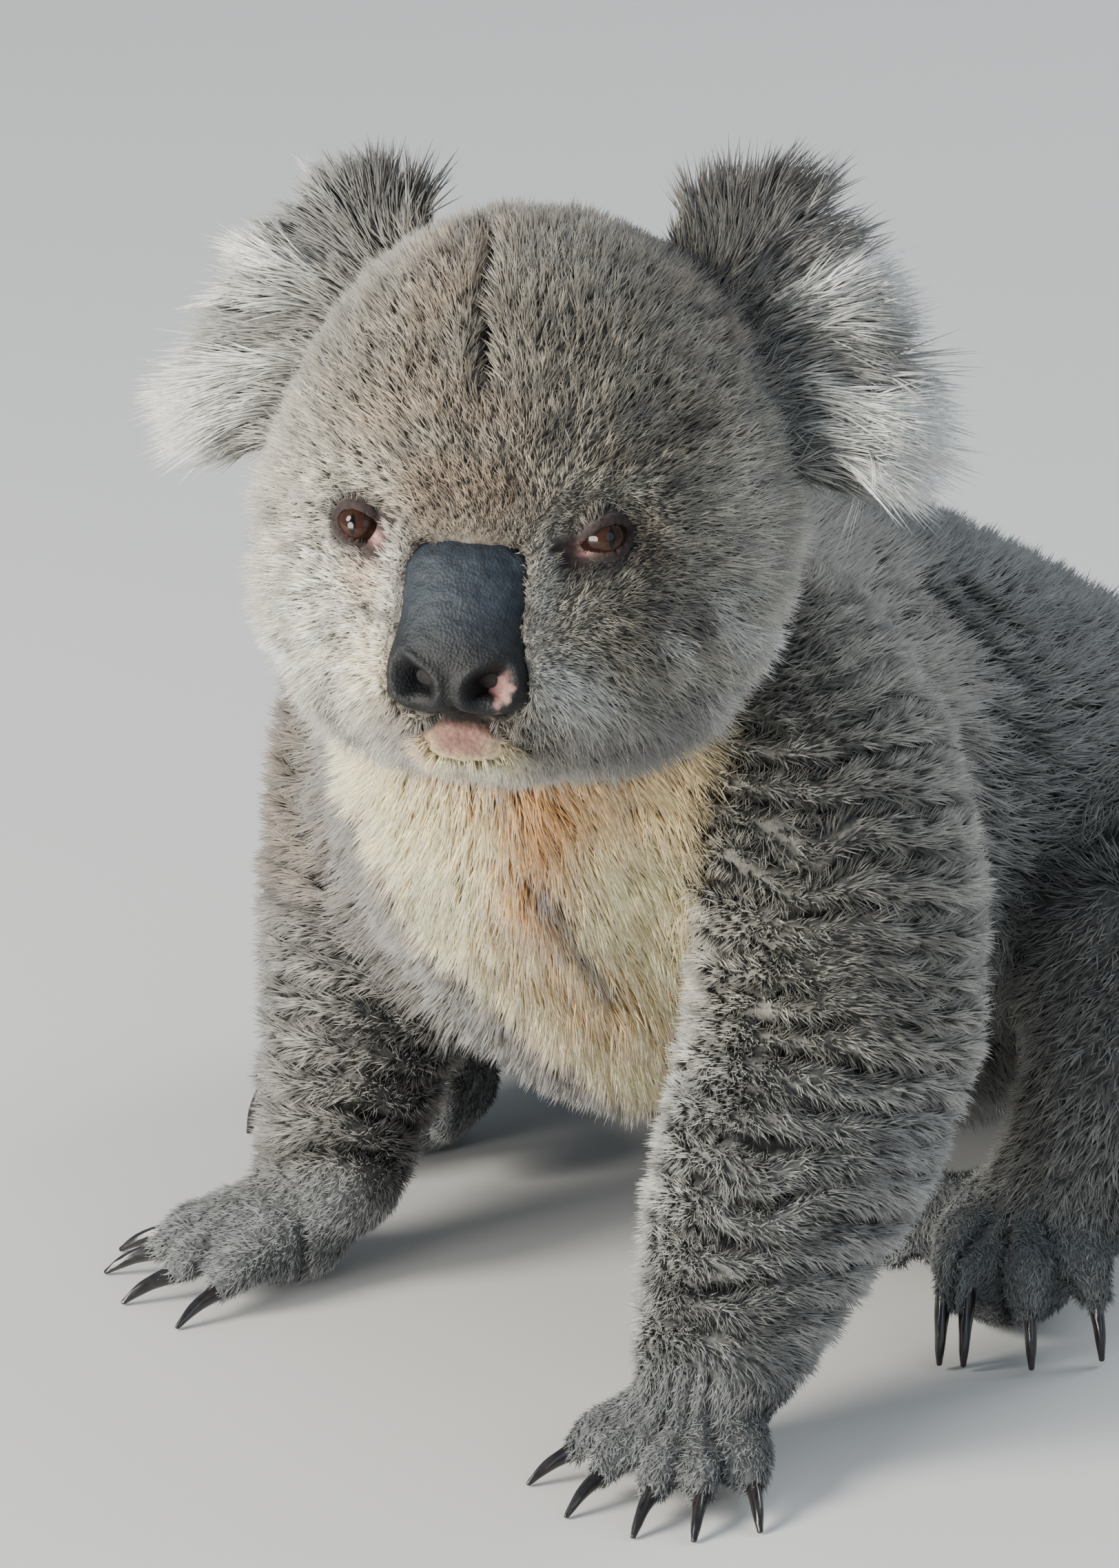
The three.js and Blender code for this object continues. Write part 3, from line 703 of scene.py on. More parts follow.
def paintLimbs(colour, p, weights, blotch):
    rightArm = shareOf(weights, "upper_arm_right", "forearm_right")
    leftArm = shareOf(weights, "upper_arm_left", "forearm_left")
    colour = paint(colour, limbSet["paws"] * shareOf(weights, "hand", "foot"), hairTones["paw"])
    # Painted shade: the right arm darkened for the head's shadow over it, and the hands darkened too.
    shade = limbSet["handShade"] * shareOf(weights, "hand") + limbSet["rightShade"] * rightArm
    colour = colour * (1 - shade)[:, None]
    inside = smooth(84, 54, p[:, 0]) * smooth(-0.2, 0.3, blotch) * smooth(95, 130, p[:, 2])
    warm = limbSet["rightWarm"] * rightArm + limbSet["leftWarm"] * leftArm * inside
    colour = paint(colour, warm, hairTones["rust"] * 0.6)
    colour = paint(colour, limbSet["lower"] * shareOf(weights, "shank", "forearm"), hairTones["paw"])
    # Painted light and shade: the arms' colour lighter on the ridges between the furrows and darker along
    # them.
    ridge = -np.sin(2 * np.pi * furrowPhase(p) / furrowSet["period"])
    ridge = ridge * shareOf(weights, "upper_arm", "forearm")
    colour = colour * (1 + furrowSet["ridge"] * ridge)[:, None]
    dapple = smooth(90, 35, p[:, 2]) * smooth(190, 260, p[:, 1]) * smooth(-0.1, 0.5, noise(p, 11, 18))
    dapple = dapple * shareOf(weights, "rump", "trunk", "thigh")
    return paint(colour, limbSet["dapple"] * dapple, hairTones["white"])


def earColour(points, hand):  # white locks on the outer side, a dark band over the top, and grey behind
    outer, ahead, topDark = earFields(points, hand)[1:]
    pale = np.clip(1.3 * outer * (0.16 + earLocks(points, hand)) + 0.05, 0, 1) * (0.3 + 0.7 * ahead)
    ear = np.tile(hairTones["earBack"], (len(points), 1))
    ear = paint(ear, pale * (1 - 0.8 * topDark), hairTones["white"] * earSet["bright"][hand])
    return paint(ear, 0.65 * topDark, hairTones["dark"] * 1.3)


def coatMarks(points, weights):
    # The colour of the coat at each point, worked out from its place on the body, with painted light and shade
    # on the face, the right arm, the hands, the arms' ridges and the bib's crease. The tips of the hair take
    # it, and the skin under them takes a darker one as the coat's painted shadow.
    p = points / mm
    blotch = noise(p, 24, 11) * 0.6 + noise(p, 9, 12) * 0.4
    front = frontOf(p, weights)
    colour = np.tile(hairTones["body"], (len(p), 1))
    colour = paint(colour, shareOf(weights, "trunk", "rump", "thigh"), hairTones["back"])
    colour = paint(colour, shareOf(weights, "head", "jaw", "nose"), faceColour(points, blotch))
    colour = paintBib(colour, p, weights, blotch, front)
    colour = paintLimbs(colour, p, weights, blotch)
    for hand, name in ((1, "ear_left"), (-1, "ear_right")):
        colour = paint(colour, weights[:, region[name]], earColour(points, hand))
    shade = 1 + (0.16 * blotch + 0.22 * noise(p, 3.6, 17)) * (1 - 0.6 * front)
    return np.clip(colour * shade[:, None], 0, 1.15)


def bareMarks(points, colour):
    # The bare parts of the skin: the rims of the lids, the eyes' inner corners and the lips, with painted
    # shade in the slit between the lips.
    bare = np.zeros(len(points))
    for hand in (1, -1):
        local, reach, gapOut = eyeOffsets(points, hand)
        rim = (1 - smooth(1.0, 2.3, gapOut)) * (reach < 16)
        inner = mound(local[:, 0] * hand, local[:, 1], (-6.8, -0.9), (2.0, 1.8)) * (reach < 14)
        colour = paint(colour, rim, hairTones["lid"])
        colour = paint(colour, inner, hairTones["corner"] * eyeSet["corner"][hand])
        bare = np.maximum(bare, rim)
    line, lip = mouthFields(points)
    mottle = 0.3 * smooth(-0.2, 0.6, noise(points / mm, 3, 25))
    colour = paint(colour, lip, hairTones["lip"]) * (1 - lip * mottle)[:, None]
    # Painted shade in the slit between the lips.
    colour = paint(colour, line * 0.9, hairTones["black"])
    pad = padNearness(points)
    colour = paint(colour, pad, hairTones["black"] * 1.6)
    return np.clip(np.maximum.reduce([bare, lip, line * 0.8, pad]), 0, 1), colour


# Down the pad from between the eyes: its middle, half-width, depth inwards and rise outwards, in mm.
noseSet = dict(
    path=[(0, -50, -1), (0, -55, -12), (0, -60, -24), (0, -64.5, -35.5), (0, -65, -47)],
    wide=[19.5, 19.0, 19.0, 20.8, 20.8], inward=[7, 8, 8, 9, 9], outward=[10.0, 12.0, 13.0, 13.2, 10.5],
    boxy=2.4, top=0.2, end=0.11, rows=120, around=120)
nostrilSet = dict(side=11.4, up=-38.5, long=5.8, tall=4.4, deep=9, rim=1.1, groove=1.3, bridge=0.9)


def spline(stations, t):  # a smooth curve through evenly spaced stations: Catmull-Rom
    stations = np.asarray(stations, float)
    stations = stations[:, None] if stations.ndim == 1 else stations
    padded = np.concatenate([2 * stations[:1] - stations[1:2], stations, 2 * stations[-1:] - stations[-2:-1]])
    spot = np.clip(t, 0, 1) * (len(stations) - 1)
    cell = np.minimum(spot.astype(int), len(stations) - 2)
    u = (spot - cell)[:, None]
    a, b, c, d = (padded[cell + k] for k in range(4))
    bent, swung = 2 * a - 5 * b + 4 * c - d, 3 * b - a - 3 * c + d
    return 0.5 * (2 * b + (c - a) * u + bent * u ** 2 + swung * u ** 3)


def noseRise(flat, ahead):
    # How far each point of the pad rises in mm: two comma-shaped nostrils with raised rims, a groove down
    # the middle of the lower edge, a broad bridge and fine unevenness.
    rise = np.zeros(len(flat))
    for hand in (1, -1):
        dx, dz = flat[:, 0] * hand - nostrilSet["side"], flat[:, 2] - nostrilSet["up"]
        across = dx * 0.86 + dz * 0.5
        tall = dz * 0.86 - dx * 0.5 - 0.05 * np.maximum(across, 0) ** 2
        oval = (across / nostrilSet["long"]) ** 2 + (tall / nostrilSet["tall"]) ** 2
        rise -= nostrilSet["deep"] * np.exp(-oval ** 1.6) * ahead
        rise += nostrilSet["rim"] * blob(np.sqrt(oval), 1.45, 0.35) * ahead
    rise -= nostrilSet["groove"] * blob(flat[:, 0], 0, 1.3) * smooth(-30, -42, flat[:, 2]) * ahead
    rise += nostrilSet["bridge"] * blob(flat[:, 0], 0, 9) * blob(flat[:, 2], -14, 12) * ahead
    return rise + (0.22 * noise(flat, 2.2, 21) + 0.25 * noise(flat, 6, 22))


def noseColour(flat, rise, ahead):  # slate above and sooty below, with a pink patch beside the left nostril
    colour = np.tile(hairTones["slate"], (len(flat), 1))
    colour = paint(colour, smooth(-14, -34, flat[:, 2]), hairTones["soot"])
    # Painted shade deep in the nostrils.
    colour = paint(colour, smooth(0.5, 0.95, -rise / nostrilSet["deep"]), hairTones["black"] * 0.5)
    pink = mound(flat[:, 0] - 0.25 * (flat[:, 2] + 39), flat[:, 2], (14.8, -39.5), (2.6, 4.6))
    pink = smooth(0.3, 0.6, pink + 0.3 * noise(flat, 1.6, 24)) * ahead
    return paint(colour, 0.62 * pink, hairTones["corner"] * 0.8)


def makeNose():
    # A boxy oval carried down the pad and closed by round ends, then pushed along its normals by the rise.
    rows, around = noseSet["rows"], noseSet["around"]
    run = np.linspace(0, 1, rows)
    top, end = noseSet["top"], noseSet["end"]
    close = (1 - np.maximum(1 - run / top, 0) ** 2) * (1 - np.maximum(1 - (1 - run) / end, 0) ** 2)
    close = np.maximum(np.sqrt(np.clip(close, 0, 1)) ** 0.8, 0.02)
    middle = spline(noseSet["path"], run)
    along = unit(np.gradient(middle, axis=0))
    out = np.stack([np.zeros(rows), along[:, 2], -along[:, 1]], -1)
    out = out * np.where(out[:, 1:2] > 0, -1, 1)
    wide, inward, outward = (spline(noseSet[key], run)[:, 0] for key in ("wide", "inward", "outward"))
    angle = np.linspace(0, 2 * np.pi, around, endpoint=False)
    power = 2 / noseSet["boxy"]
    c = np.sign(np.cos(angle)) * np.abs(np.cos(angle)) ** power
    s = np.sign(np.sin(angle)) * np.abs(np.sin(angle)) ** power
    depth = np.where(s[None, :] > 0, outward[:, None], inward[:, None]) * s[None, :] * close[:, None]
    spot = middle[:, None, :] + out[:, None, :] * depth[..., None]
    spot[..., 0] += (wide * close)[:, None] * c[None, :]
    flat = spot.reshape(-1, 3)
    ahead = (s > 0.1)[None, :].repeat(rows, 0).ravel()
    rise = noseRise(flat, ahead)
    faces, verts = tubeFaces(rows, around), fromHead(flat)
    normals = normalsOf(verts, faces)
    if np.sum(normals * unit(verts - verts.mean(axis=0))) < 0:
        faces, normals = faces[:, ::-1], -normals
    nose = newPiece("nose_pad", verts + normals * rise[:, None] * mm, faces, noseMaterial())
    setPointColour(nose, "marks", noseColour(flat, rise, ahead))
    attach(nose, "root")
    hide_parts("nose")


def setPointColour(piece, name, colours):
    attribute = piece.data.attributes.new(name, "FLOAT_COLOR", "POINT")
    full = np.ones((len(colours), 4), np.float32)
    full[:, :3] = colours
    attribute.data.foreach_set("color", full.ravel())


def nodeOf(tree, kind, **values):  # a node with its sockets' values or links set by name
    node = tree.nodes.new(kind)
    for key, value in values.items():
        if hasattr(node, key):
            setattr(node, key, value)
            continue
        socket = node.inputs[int(key[1:])] if key[1:].isdigit() else node.inputs[key.replace("_", " ")]
        if isinstance(value, bpy.types.NodeSocket):
            tree.links.new(value, socket)
        else:
            socket.default_value = value
    return node


def makeTickGroup():
    # Fine light and dark ticking on a colour, and the height of hair strands for bump.
    group = bpy.data.node_groups.new("ticking", "ShaderNodeTree")
    for name, kind, value in (
            ("Colour", "NodeSocketColor", None), ("Size", "NodeSocketFloat", 400.0),
            ("Strength", "NodeSocketFloat", 0.3)):
        socket = group.interface.new_socket(name, in_out="INPUT", socket_type=kind)
        if value is not None:
            socket.default_value = value
    group.interface.new_socket("Colour", in_out="OUTPUT", socket_type="NodeSocketColor")
    group.interface.new_socket("Height", in_out="OUTPUT", socket_type="NodeSocketFloat")
    start, end = group.nodes.new("NodeGroupInput"), group.nodes.new("NodeGroupOutput")
    place = group.nodes.new("ShaderNodeTexCoord")
    speck = nodeOf(
        group, "ShaderNodeTexNoise", Vector=place.outputs["Object"], Scale=start.outputs["Size"], Detail=3.0)
    band = nodeOf(group, "ShaderNodeMapRange", Value=speck.outputs["Fac"])
    band.inputs["From Min"].default_value, band.inputs["From Max"].default_value = 0.3, 0.7
    band.inputs["To Min"].default_value, band.inputs["To Max"].default_value = -1, 1
    scaled = nodeOf(
        group, "ShaderNodeMath", operation="MULTIPLY", _0=band.outputs["Result"], _1=start.outputs["Strength"])
    lifted = nodeOf(group, "ShaderNodeMath", operation="ADD", _0=scaled.outputs[0], _1=1.0)
    colour = nodeOf(group, "ShaderNodeVectorMath", operation="SCALE", _0=start.outputs["Colour"])
    group.links.new(lifted.outputs[0], colour.inputs["Scale"])
    group.links.new(colour.outputs["Vector"], end.inputs["Colour"])
    group.links.new(speck.outputs["Fac"], end.inputs["Height"])
    return group


tickGroup = makeTickGroup()


def tickedMarks(tree, attribute, size, strength):  # a point attribute's colours with fine ticking over them
    marks = nodeOf(tree, "ShaderNodeAttribute", attribute_name=attribute)
    ticks = tree.nodes.new("ShaderNodeGroup")
    ticks.node_tree = tickGroup
    ticks.inputs["Size"].default_value, ticks.inputs["Strength"].default_value = size, strength
    tree.links.new(marks.outputs["Color"], ticks.inputs["Colour"])
    return ticks


def addBump(tree, shader, height, strength, distance):
    bump = nodeOf(tree, "ShaderNodeBump", Height=height, Strength=strength, Distance=distance)
    tree.links.new(bump.outputs["Normal"], shader.inputs["Normal"])


def hairMaterial(name, attribute, roughness, sheen, size, strength, bump):
    material, tree, shader = newMaterial(
        name, Roughness=roughness, Specular_IOR_Level=0.25, Sheen_Weight=sheen, Sheen_Roughness=0.5)
    ticks = tickedMarks(tree, attribute, size, strength)
    tree.links.new(ticks.outputs["Colour"], shader.inputs["Base Color"])
    if bump:
        addBump(tree, shader, ticks.outputs["Height"], bump, 0.001)
    return material


def noseMaterial():  # velvety leather, finely pebbled
    material, tree, shader = newMaterial("noseLeather", Roughness=0.6, Specular_IOR_Level=0.35)
    place = tree.nodes.new("ShaderNodeTexCoord")
    pebbles = nodeOf(tree, "ShaderNodeTexVoronoi", Vector=place.outputs["Object"], Scale=1100.0)
    ticks = tickedMarks(tree, "marks", 300.0, 0.35)
    tree.links.new(ticks.outputs["Colour"], shader.inputs["Base Color"])
    addBump(tree, shader, pebbles.outputs["Distance"], 0.4, 0.0005)
    return material


def eyeMaterial():
    # A brown iris with streaks and a dark outer ring round an upright slit, under a wet clear coat.
    material, tree, shader = newMaterial(
        "eyeBrown", Roughness=0.6, Specular_IOR_Level=0.0, Coat_Weight=1.0, Coat_IOR=1.36, Coat_Roughness=0.02)
    marks = nodeOf(tree, "ShaderNodeAttribute", attribute_name="iris")
    place = tree.nodes.new("ShaderNodeTexCoord")
    streaks = nodeOf(tree, "ShaderNodeTexNoise", Vector=place.outputs["Object"], Scale=900.0, Detail=4.0)
    lifted = nodeOf(tree, "ShaderNodeMapRange", Value=streaks.outputs["Fac"])
    lifted.inputs["To Min"].default_value, lifted.inputs["To Max"].default_value = 0.65, 1.3
    colour = nodeOf(tree, "ShaderNodeVectorMath", operation="SCALE", _0=marks.outputs["Color"])
    tree.links.new(lifted.outputs["Result"], colour.inputs["Scale"])
    tree.links.new(colour.outputs["Vector"], shader.inputs["Base Color"])
    return material


def hornMaterial():  # near-black horn with faint streaks, and a little polish
    material, tree, shader = newMaterial("clawHorn", Roughness=0.26, Coat_Weight=0.3)
    place = tree.nodes.new("ShaderNodeTexCoord")
    streaks = nodeOf(tree, "ShaderNodeTexNoise", Vector=place.outputs["Object"], Scale=320.0, Detail=5.0)
    ramp = nodeOf(tree, "ShaderNodeValToRGB", Fac=streaks.outputs["Fac"])
    dark, light = ramp.color_ramp.elements
    dark.position, light.position = 0.35, 0.8
    dark.color, light.color = (*tone(18, 16, 17), 1), (*tone(44, 39, 38), 1)
    tree.links.new(ramp.outputs["Color"], shader.inputs["Base Color"])
    addBump(tree, shader, streaks.outputs["Fac"], 0.15, 0.0004)
    return material


makeNose()
print("nose made")


def makeEye(hand, side):
    # A ball with a low clear bulge over the iris. Its rings are set round the way the eye looks.
    centre, axes = eyeFrame(hand)
    rows, around = eyeSet["rows"], eyeSet["around"]
    polar = np.linspace(0.012, np.pi - 0.012, rows)
    angle = np.linspace(0, 2 * np.pi, around, endpoint=False)
    radius = (eyeSet["radius"] - eyeSet["inset"]) + eyeSet["bulge"] * np.exp(-(polar / 0.62) ** 4)
    x = (radius * np.sin(polar))[:, None] * np.cos(angle)[None, :]
    y = (radius * np.sin(polar))[:, None] * np.sin(angle)[None, :]
    z = (radius * np.cos(polar))[:, None] * np.ones(around)[None, :]
    local = np.stack([x, y, z], -1).reshape(-1, 3)
    faces = tubeFaces(rows, around)
    verts = fromHead(local @ axes.T + centre)
    if np.sum(normalsOf(verts, faces) * unit(verts - verts.mean(axis=0))) < 0:
        faces = faces[:, ::-1]
    eye = newPiece("ball_eye_" + side, verts, faces, eyeShine)

    # The iris is brown with streaks, and the slit stands upright whatever the lids' slant.
    slant = np.radians(eyeSet["slant"] * hand)
    u = local[:, 0] * np.cos(slant) - local[:, 1] * np.sin(slant)
    v = local[:, 0] * np.sin(slant) + local[:, 1] * np.cos(slant)
    reach = np.hypot(u, v)
    ahead = local[:, 2] > 0
    colour = np.tile(tone(34, 20, 16), (len(local), 1))
    iris = (1 - smooth(eyeSet["iris"] - 0.5, eyeSet["iris"] + 0.2, reach)) * ahead
    streak = 0.5 + 0.5 * noise(np.stack([np.arctan2(v, u) * 6, reach * 0.4, reach * 0], -1), 0.5, 31)
    brown = tone(46, 26, 18) * (0.75 + 0.6 * streak[:, None]) * (0.6 + 0.6 * blob(reach, 2.4, 1.8)[:, None])
    colour = colour + iris[:, None] * (brown - colour)
    slit = 1 - smooth(0.8, 1.1, np.sqrt((u / eyeSet["pupil"][0]) ** 2 + (v / eyeSet["pupil"][1]) ** 2))
    colour = paint(colour, slit * ahead, np.array([0.002, 0.002, 0.002]))
    setPointColour(eye, "iris", colour)
    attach(eye, "root")
    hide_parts("eye_" + side)


eyeShine = eyeMaterial()
for hand, side in ((1, "left"), (-1, "right")):
    makeEye(hand, side)
print("eyes made")


def makeClaws(paw, horn):
    # Each claw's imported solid, its doubles merged and its faces rounded off, keeps its place and size.
    names = clawsOf(paw)
    verts, faces = joinArrays([cadArrays(name) for name in names])
    blank = newPiece("claws_" + paw, verts, faces, horn)
    body = bmesh.new()
    body.from_mesh(blank.data)
    bmesh.ops.remove_doubles(body, verts=body.verts, dist=0.00002)
    bmesh.ops.recalc_face_normals(body, faces=body.faces)
    for vert in body.verts:
        vert.co += vert.normal * (0.75 * mm)
        vert.co.z = max(vert.co.z, 0.3 * mm)
    body.to_mesh(blank.data)
    body.free()
    blank.data.polygons.foreach_set("use_smooth", np.ones(len(blank.data.polygons), bool))
    rounding = blank.modifiers.new("rounding", "SUBSURF")
    rounding.levels = rounding.render_levels = 2
    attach(blank, "root")
    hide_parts(*names)


horn = hornMaterial()
for paw in ("hand_left", "hand_right", "foot_left", "foot_right"):
    makeClaws(paw, horn)
print("claws made")


def unwrapSkin(piece):  # lays the skin out flat by its own faces, and returns a place for each face corner
    bpy.context.view_layer.objects.active = piece
    piece.select_set(True)
    bpy.ops.object.mode_set(mode="EDIT")
    bpy.ops.mesh.select_all(action="SELECT")
    bpy.ops.uv.smart_project(angle_limit=1.15, island_margin=0.001)
    bpy.ops.object.mode_set(mode="OBJECT")
    piece.select_set(False)
    piece.data.uv_layers[0].name = "OFBake"
    flat = np.empty(len(piece.data.loops) * 2, np.float32)
    piece.data.uv_layers["OFBake"].data.foreach_get("uv", flat)
    return flat.reshape(-1, 3, 2)


skinColour = coatMarks(skinVerts, skinWeights)
skinBare, skinColour = bareMarks(skinVerts, skinColour)
# Painted shade on the skin: darker in the furrows and the dips between the digits, and darker under the hair
# as the coat's painted shadow, less so under pale hair and not at all on bare skin.
skinFurrow = furrowField(skinVerts, skinWeights)
skinShade = np.maximum(smooth(0.04, 0.4, skinFurrow) * 0.95, 0.85 * creaseField(skinVerts, skinWeights))
underCoatShadowFactor = (0.4 + 0.5 * skinColour.mean(axis=1)) * (1 - skinBare) + skinBare
shadedUnderHair = skinColour * (underCoatShadowFactor * (1 - skinShade))[:, None]
skinMaterial = hairMaterial(
    "skinHide", "marks", roughness=0.75, sheen=0.15, size=700.0, strength=0.35, bump=0.5)
skinPiece = newPiece("skin", skinVerts, skinFaces, skinMaterial)
setPointColour(skinPiece, "marks", shadedUnderHair)
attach(skinPiece, "root")
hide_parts(*[name for name in regionNames if name != "nose"])
skinLayout = unwrapSkin(skinPiece)
print("skin made")


# Tufts stand on the skin, each a lock of thin pointed strands that share a root, a lean and a colour. Each
# strand's length, height and width are its tuft's times a number in a range. Sunk is in mm, sway in degrees.
tuftSet = dict(
    spacing=1.4, strandWidth=0.5, splay=0.42, stretch=1.6, gather=0.45, sway=16, sunk=0.5, faceFine=0.42,
    lengths=(0.72, 1.12), heights=(0.65, 1.3), widths=(0.7, 1.2), patch=0.003)
nextAlong = dict(upper_arm="forearm", forearm="hand", shank="foot")


def limbFlow(name):  # from a limb's node towards the next one down it
    kind, side = name.rsplit("_", 1)
    return unit(centreOf(nextAlong[kind] + "_" + side) - centreOf(name))


def clawsCentre(paw):
    return np.mean([centreOf(name) for name in clawsOf(paw)], axis=0)


def lieOfCoat(points, normals, weights):
    # Which way the hair points: away from the nose on the head, down the chest, back and down along the
    # body, along the furrows round the arms, down the legs and the paws, and in a fan over each ear.
    p = points / mm
    flow = np.zeros((len(p), 3))
    back = smooth(0.1, 0.6, normals[:, 2])
    down = np.array([0, 0.25, -1.0])
    for name in regionNames:
        share = weights[:, region[name]][:, None]
        hand = 1 if name.endswith("left") else -1
        if name in ("head", "jaw", "nose"):
            local = toHead(points)
            away = unit(local - np.array([0, -84, -22]))
            away[:, 1] += 0.45 + 0.5 * smooth(-20, 20, local[:, 1])
            away[:, 2] -= 0.8 * smooth(30, 60, np.abs(local[:, 0])) * smooth(30, -20, local[:, 2])
            wanted = unit(away) @ headTurn.T
        elif name in ("neck", "chest"):
            wanted = down + back[:, None] * np.array([0, 1.2, 0.7])
            wanted[:, 0] += 0.012 * (p[:, 0] - 20) * (1 - back)
        elif name in ("trunk", "rump"):
            wanted = np.tile([0, 1.0, -0.42], (len(p), 1))
        elif name.startswith(("upper_arm", "forearm")):
            axis = limbFlow(name)
            slope = np.stack([furrowPhase(p + step) - furrowPhase(p) for step in np.eye(3)], -1)
            alongFurrow, aroundArm = (unit(np.cross(normals, way)) * hand for way in (-unit(slope), axis))
            wanted = axis * 0.25 + alongFurrow * 1.1 + aroundArm * 0.1
        elif name.startswith(("hand", "foot")):
            wanted = np.tile(unit(clawsCentre(name) - centreOf(name)), (len(p), 1))
        elif name.startswith("thigh"):
            wanted = np.tile(unit(np.array([0, 0.35, -1.0])), (len(p), 1))
        elif name.startswith("shank"):
            wanted = np.tile(limbFlow(name), (len(p), 1))
        else:
            ex, ey, ez = toEar(points, hand).T
            fanX, fanZ = earSet["fanFrom"]
            local = unit(np.stack([ex * hand - fanX, np.full(len(p), -4.0), ez - fanZ], -1))
            tuck = earFields(points, hand)[3] * smooth(14, -14, ex * hand)
            local += np.array([-earSet["inward"][hand], 0, 0.3]) * tuck[:, None]
            wanted = unit(local * [hand, 1, 1]) @ earTurn(hand).T @ headTurn.T
        flow += share * unit(wanted)
    flow -= normals * np.sum(flow * normals, axis=1, keepdims=True)
    return unit(flow)


def atCorners(values, faces, corners, share):  # a value at points inside faces, from the faces' corners
    return sum(values[faces[corners, k]] * share[:, k][:, None] for k in range(3))


def strandMesh(roots, ways, sides, lengths, widths, heights, normals, look):
    # Strands as closed three-sided spikes: rings of three points that narrow to a tip, along a path that
    # leaves the skin steeply and lies down towards its end.
    count, rings = len(roots), look["rings"]
    steps = np.linspace(0, 1, rings + 1)
    reach = np.sqrt(np.maximum(lengths ** 2 - heights ** 2, (0.25 * lengths) ** 2))
    verts = np.empty((count, rings * 3 + 1, 3))
    for k, t in enumerate(steps):
        lift = heights * (1 - (1 - t) ** (1 + look["bend"]))
        spot = roots + ways * (reach * t)[:, None] + normals * lift[:, None]
        if k == rings:
            verts[:, -1] = spot
            continue
        wide = (widths * (1 - 0.62 * t) / 2)[:, None]
        verts[:, k * 3] = spot - sides * wide
        verts[:, k * 3 + 1] = spot + sides * wide
        verts[:, k * 3 + 2] = spot + normals * wide * look["thick"]
    faces = [[0, 2, 1]]
    for k in range(rings - 1):
        for a, b in ((0, 1), (1, 2), (2, 0)):
            low, high = k * 3, k * 3 + 3
            faces += [[low + a, low + b, high + b], [low + a, high + b, high + a]]
    last = rings * 3 - 3
    faces += [[last + a, last + b, rings * 3] for a, b in ((0, 1), (1, 2), (2, 0))]
    return verts, np.array(faces)


def makeCoat(name, chosen, material, rng, look):
    strands, rings = look["strands"], look["rings"]
    tufts = {key: value[chosen] for key, value in coatRoots.items()}
    count = len(tufts["root"])
    pick = np.repeat(np.arange(count), strands)
    total = len(pick)
    root, normal, way = tufts["root"][pick], tufts["normal"][pick], tufts["way"][pick]
    side = unit(np.cross(way, normal))
    width, length, height = tufts["width"][pick], tufts["length"][pick], tufts["height"][pick]
    spread = rng.normal(size=(total, 2)) * tuftSet["splay"]
    offset = (side * spread[:, :1] + way * spread[:, 1:] * tuftSet["stretch"]) * (width * mm)[:, None]
    yaw = np.radians(rng.normal(size=total) * look["jitter"]) - spread[:, 0] * tuftSet["gather"] * 0.5
    turned = unit(way * np.cos(yaw)[:, None] + side * np.sin(yaw)[:, None])
    length = length * rng.uniform(*tuftSet["lengths"], total)
    height = np.minimum(height * rng.uniform(*tuftSet["heights"], total), length * 0.92)
    width = width * tuftSet["strandWidth"] * mm * rng.uniform(*tuftSet["widths"], total)
    roots = root + offset - normal * (tuftSet["sunk"] * mm)
    sides = unit(np.cross(turned, normal))
    verts, faces = strandMesh(
        roots, turned, sides, length * mm, width, (height + tuftSet["sunk"]) * mm, normal, look)
    perStrand = verts.shape[1]
    if np.sum(normalsOf(verts[0], faces) * (verts[0] - verts[0].mean(axis=0))) < 0:
        faces = faces[:, ::-1]
    allFaces = (faces[None] + (np.arange(total) * perStrand)[:, None, None]).reshape(-1, 3)
    flat = verts.reshape(-1, 3)
    flat[:, 2] = np.maximum(flat[:, 2], 0.4 * mm)
    piece = newPiece(name, flat, allFaces, material)

    # Darker at the root, the coat's colour in the middle, and a tip paler or darker from tuft to tuft. The tip
    # is also darkened where it ends over a furrow, as painted shade.
    along = np.append(np.repeat(np.arange(rings) / rings, 3), 1.0)
    speck, rootShade = look["speck"], look["rootShade"]
    tint = (1 + rng.normal(size=count) * 0.13 * speck)[pick] * (1 + rng.normal(size=total) * 0.1 * speck)
    tip = (1.3 + 0.38 * speck * rng.normal(size=count))[pick] * (1 - 0.85 * tufts["ending"][pick])
    rise = (rootShade + (tip[:, None] - rootShade) * along[None, :]) * tint[:, None]
    colours = np.clip(tufts["colour"][pick][:, None, :] * rise[..., None], 0, 1)
    setPointColour(piece, "coatColor", colours.reshape(-1, 3))

    # Each strand's patch in the map sits at its tuft's place on the skin: its rings nest round the tip.
    angles = np.radians([210, 330, 90])
    ring = np.stack([np.cos(angles), np.sin(angles)], -1) * tuftSet["patch"] * 0.55
    local = np.concatenate([ring * (1 - k / rings) for k in range(rings)] + [np.zeros((1, 2))])
    corners = tufts["layout"][pick][:, None, :] + local[None]
    layer = piece.data.uv_layers.new(name="OFBake")
    layer.data.foreach_set("uv", corners.reshape(-1, 2)[allFaces.ravel()].astype(np.float32).ravel())
    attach(piece, "root")
    print(name, count, "tufts", len(allFaces), "triangles")
    return len(allFaces)


def fineness(points):  # the hair is finer on the bare middle of the face
    return 1 - tuftSet["faceFine"] * faceDepth(points)


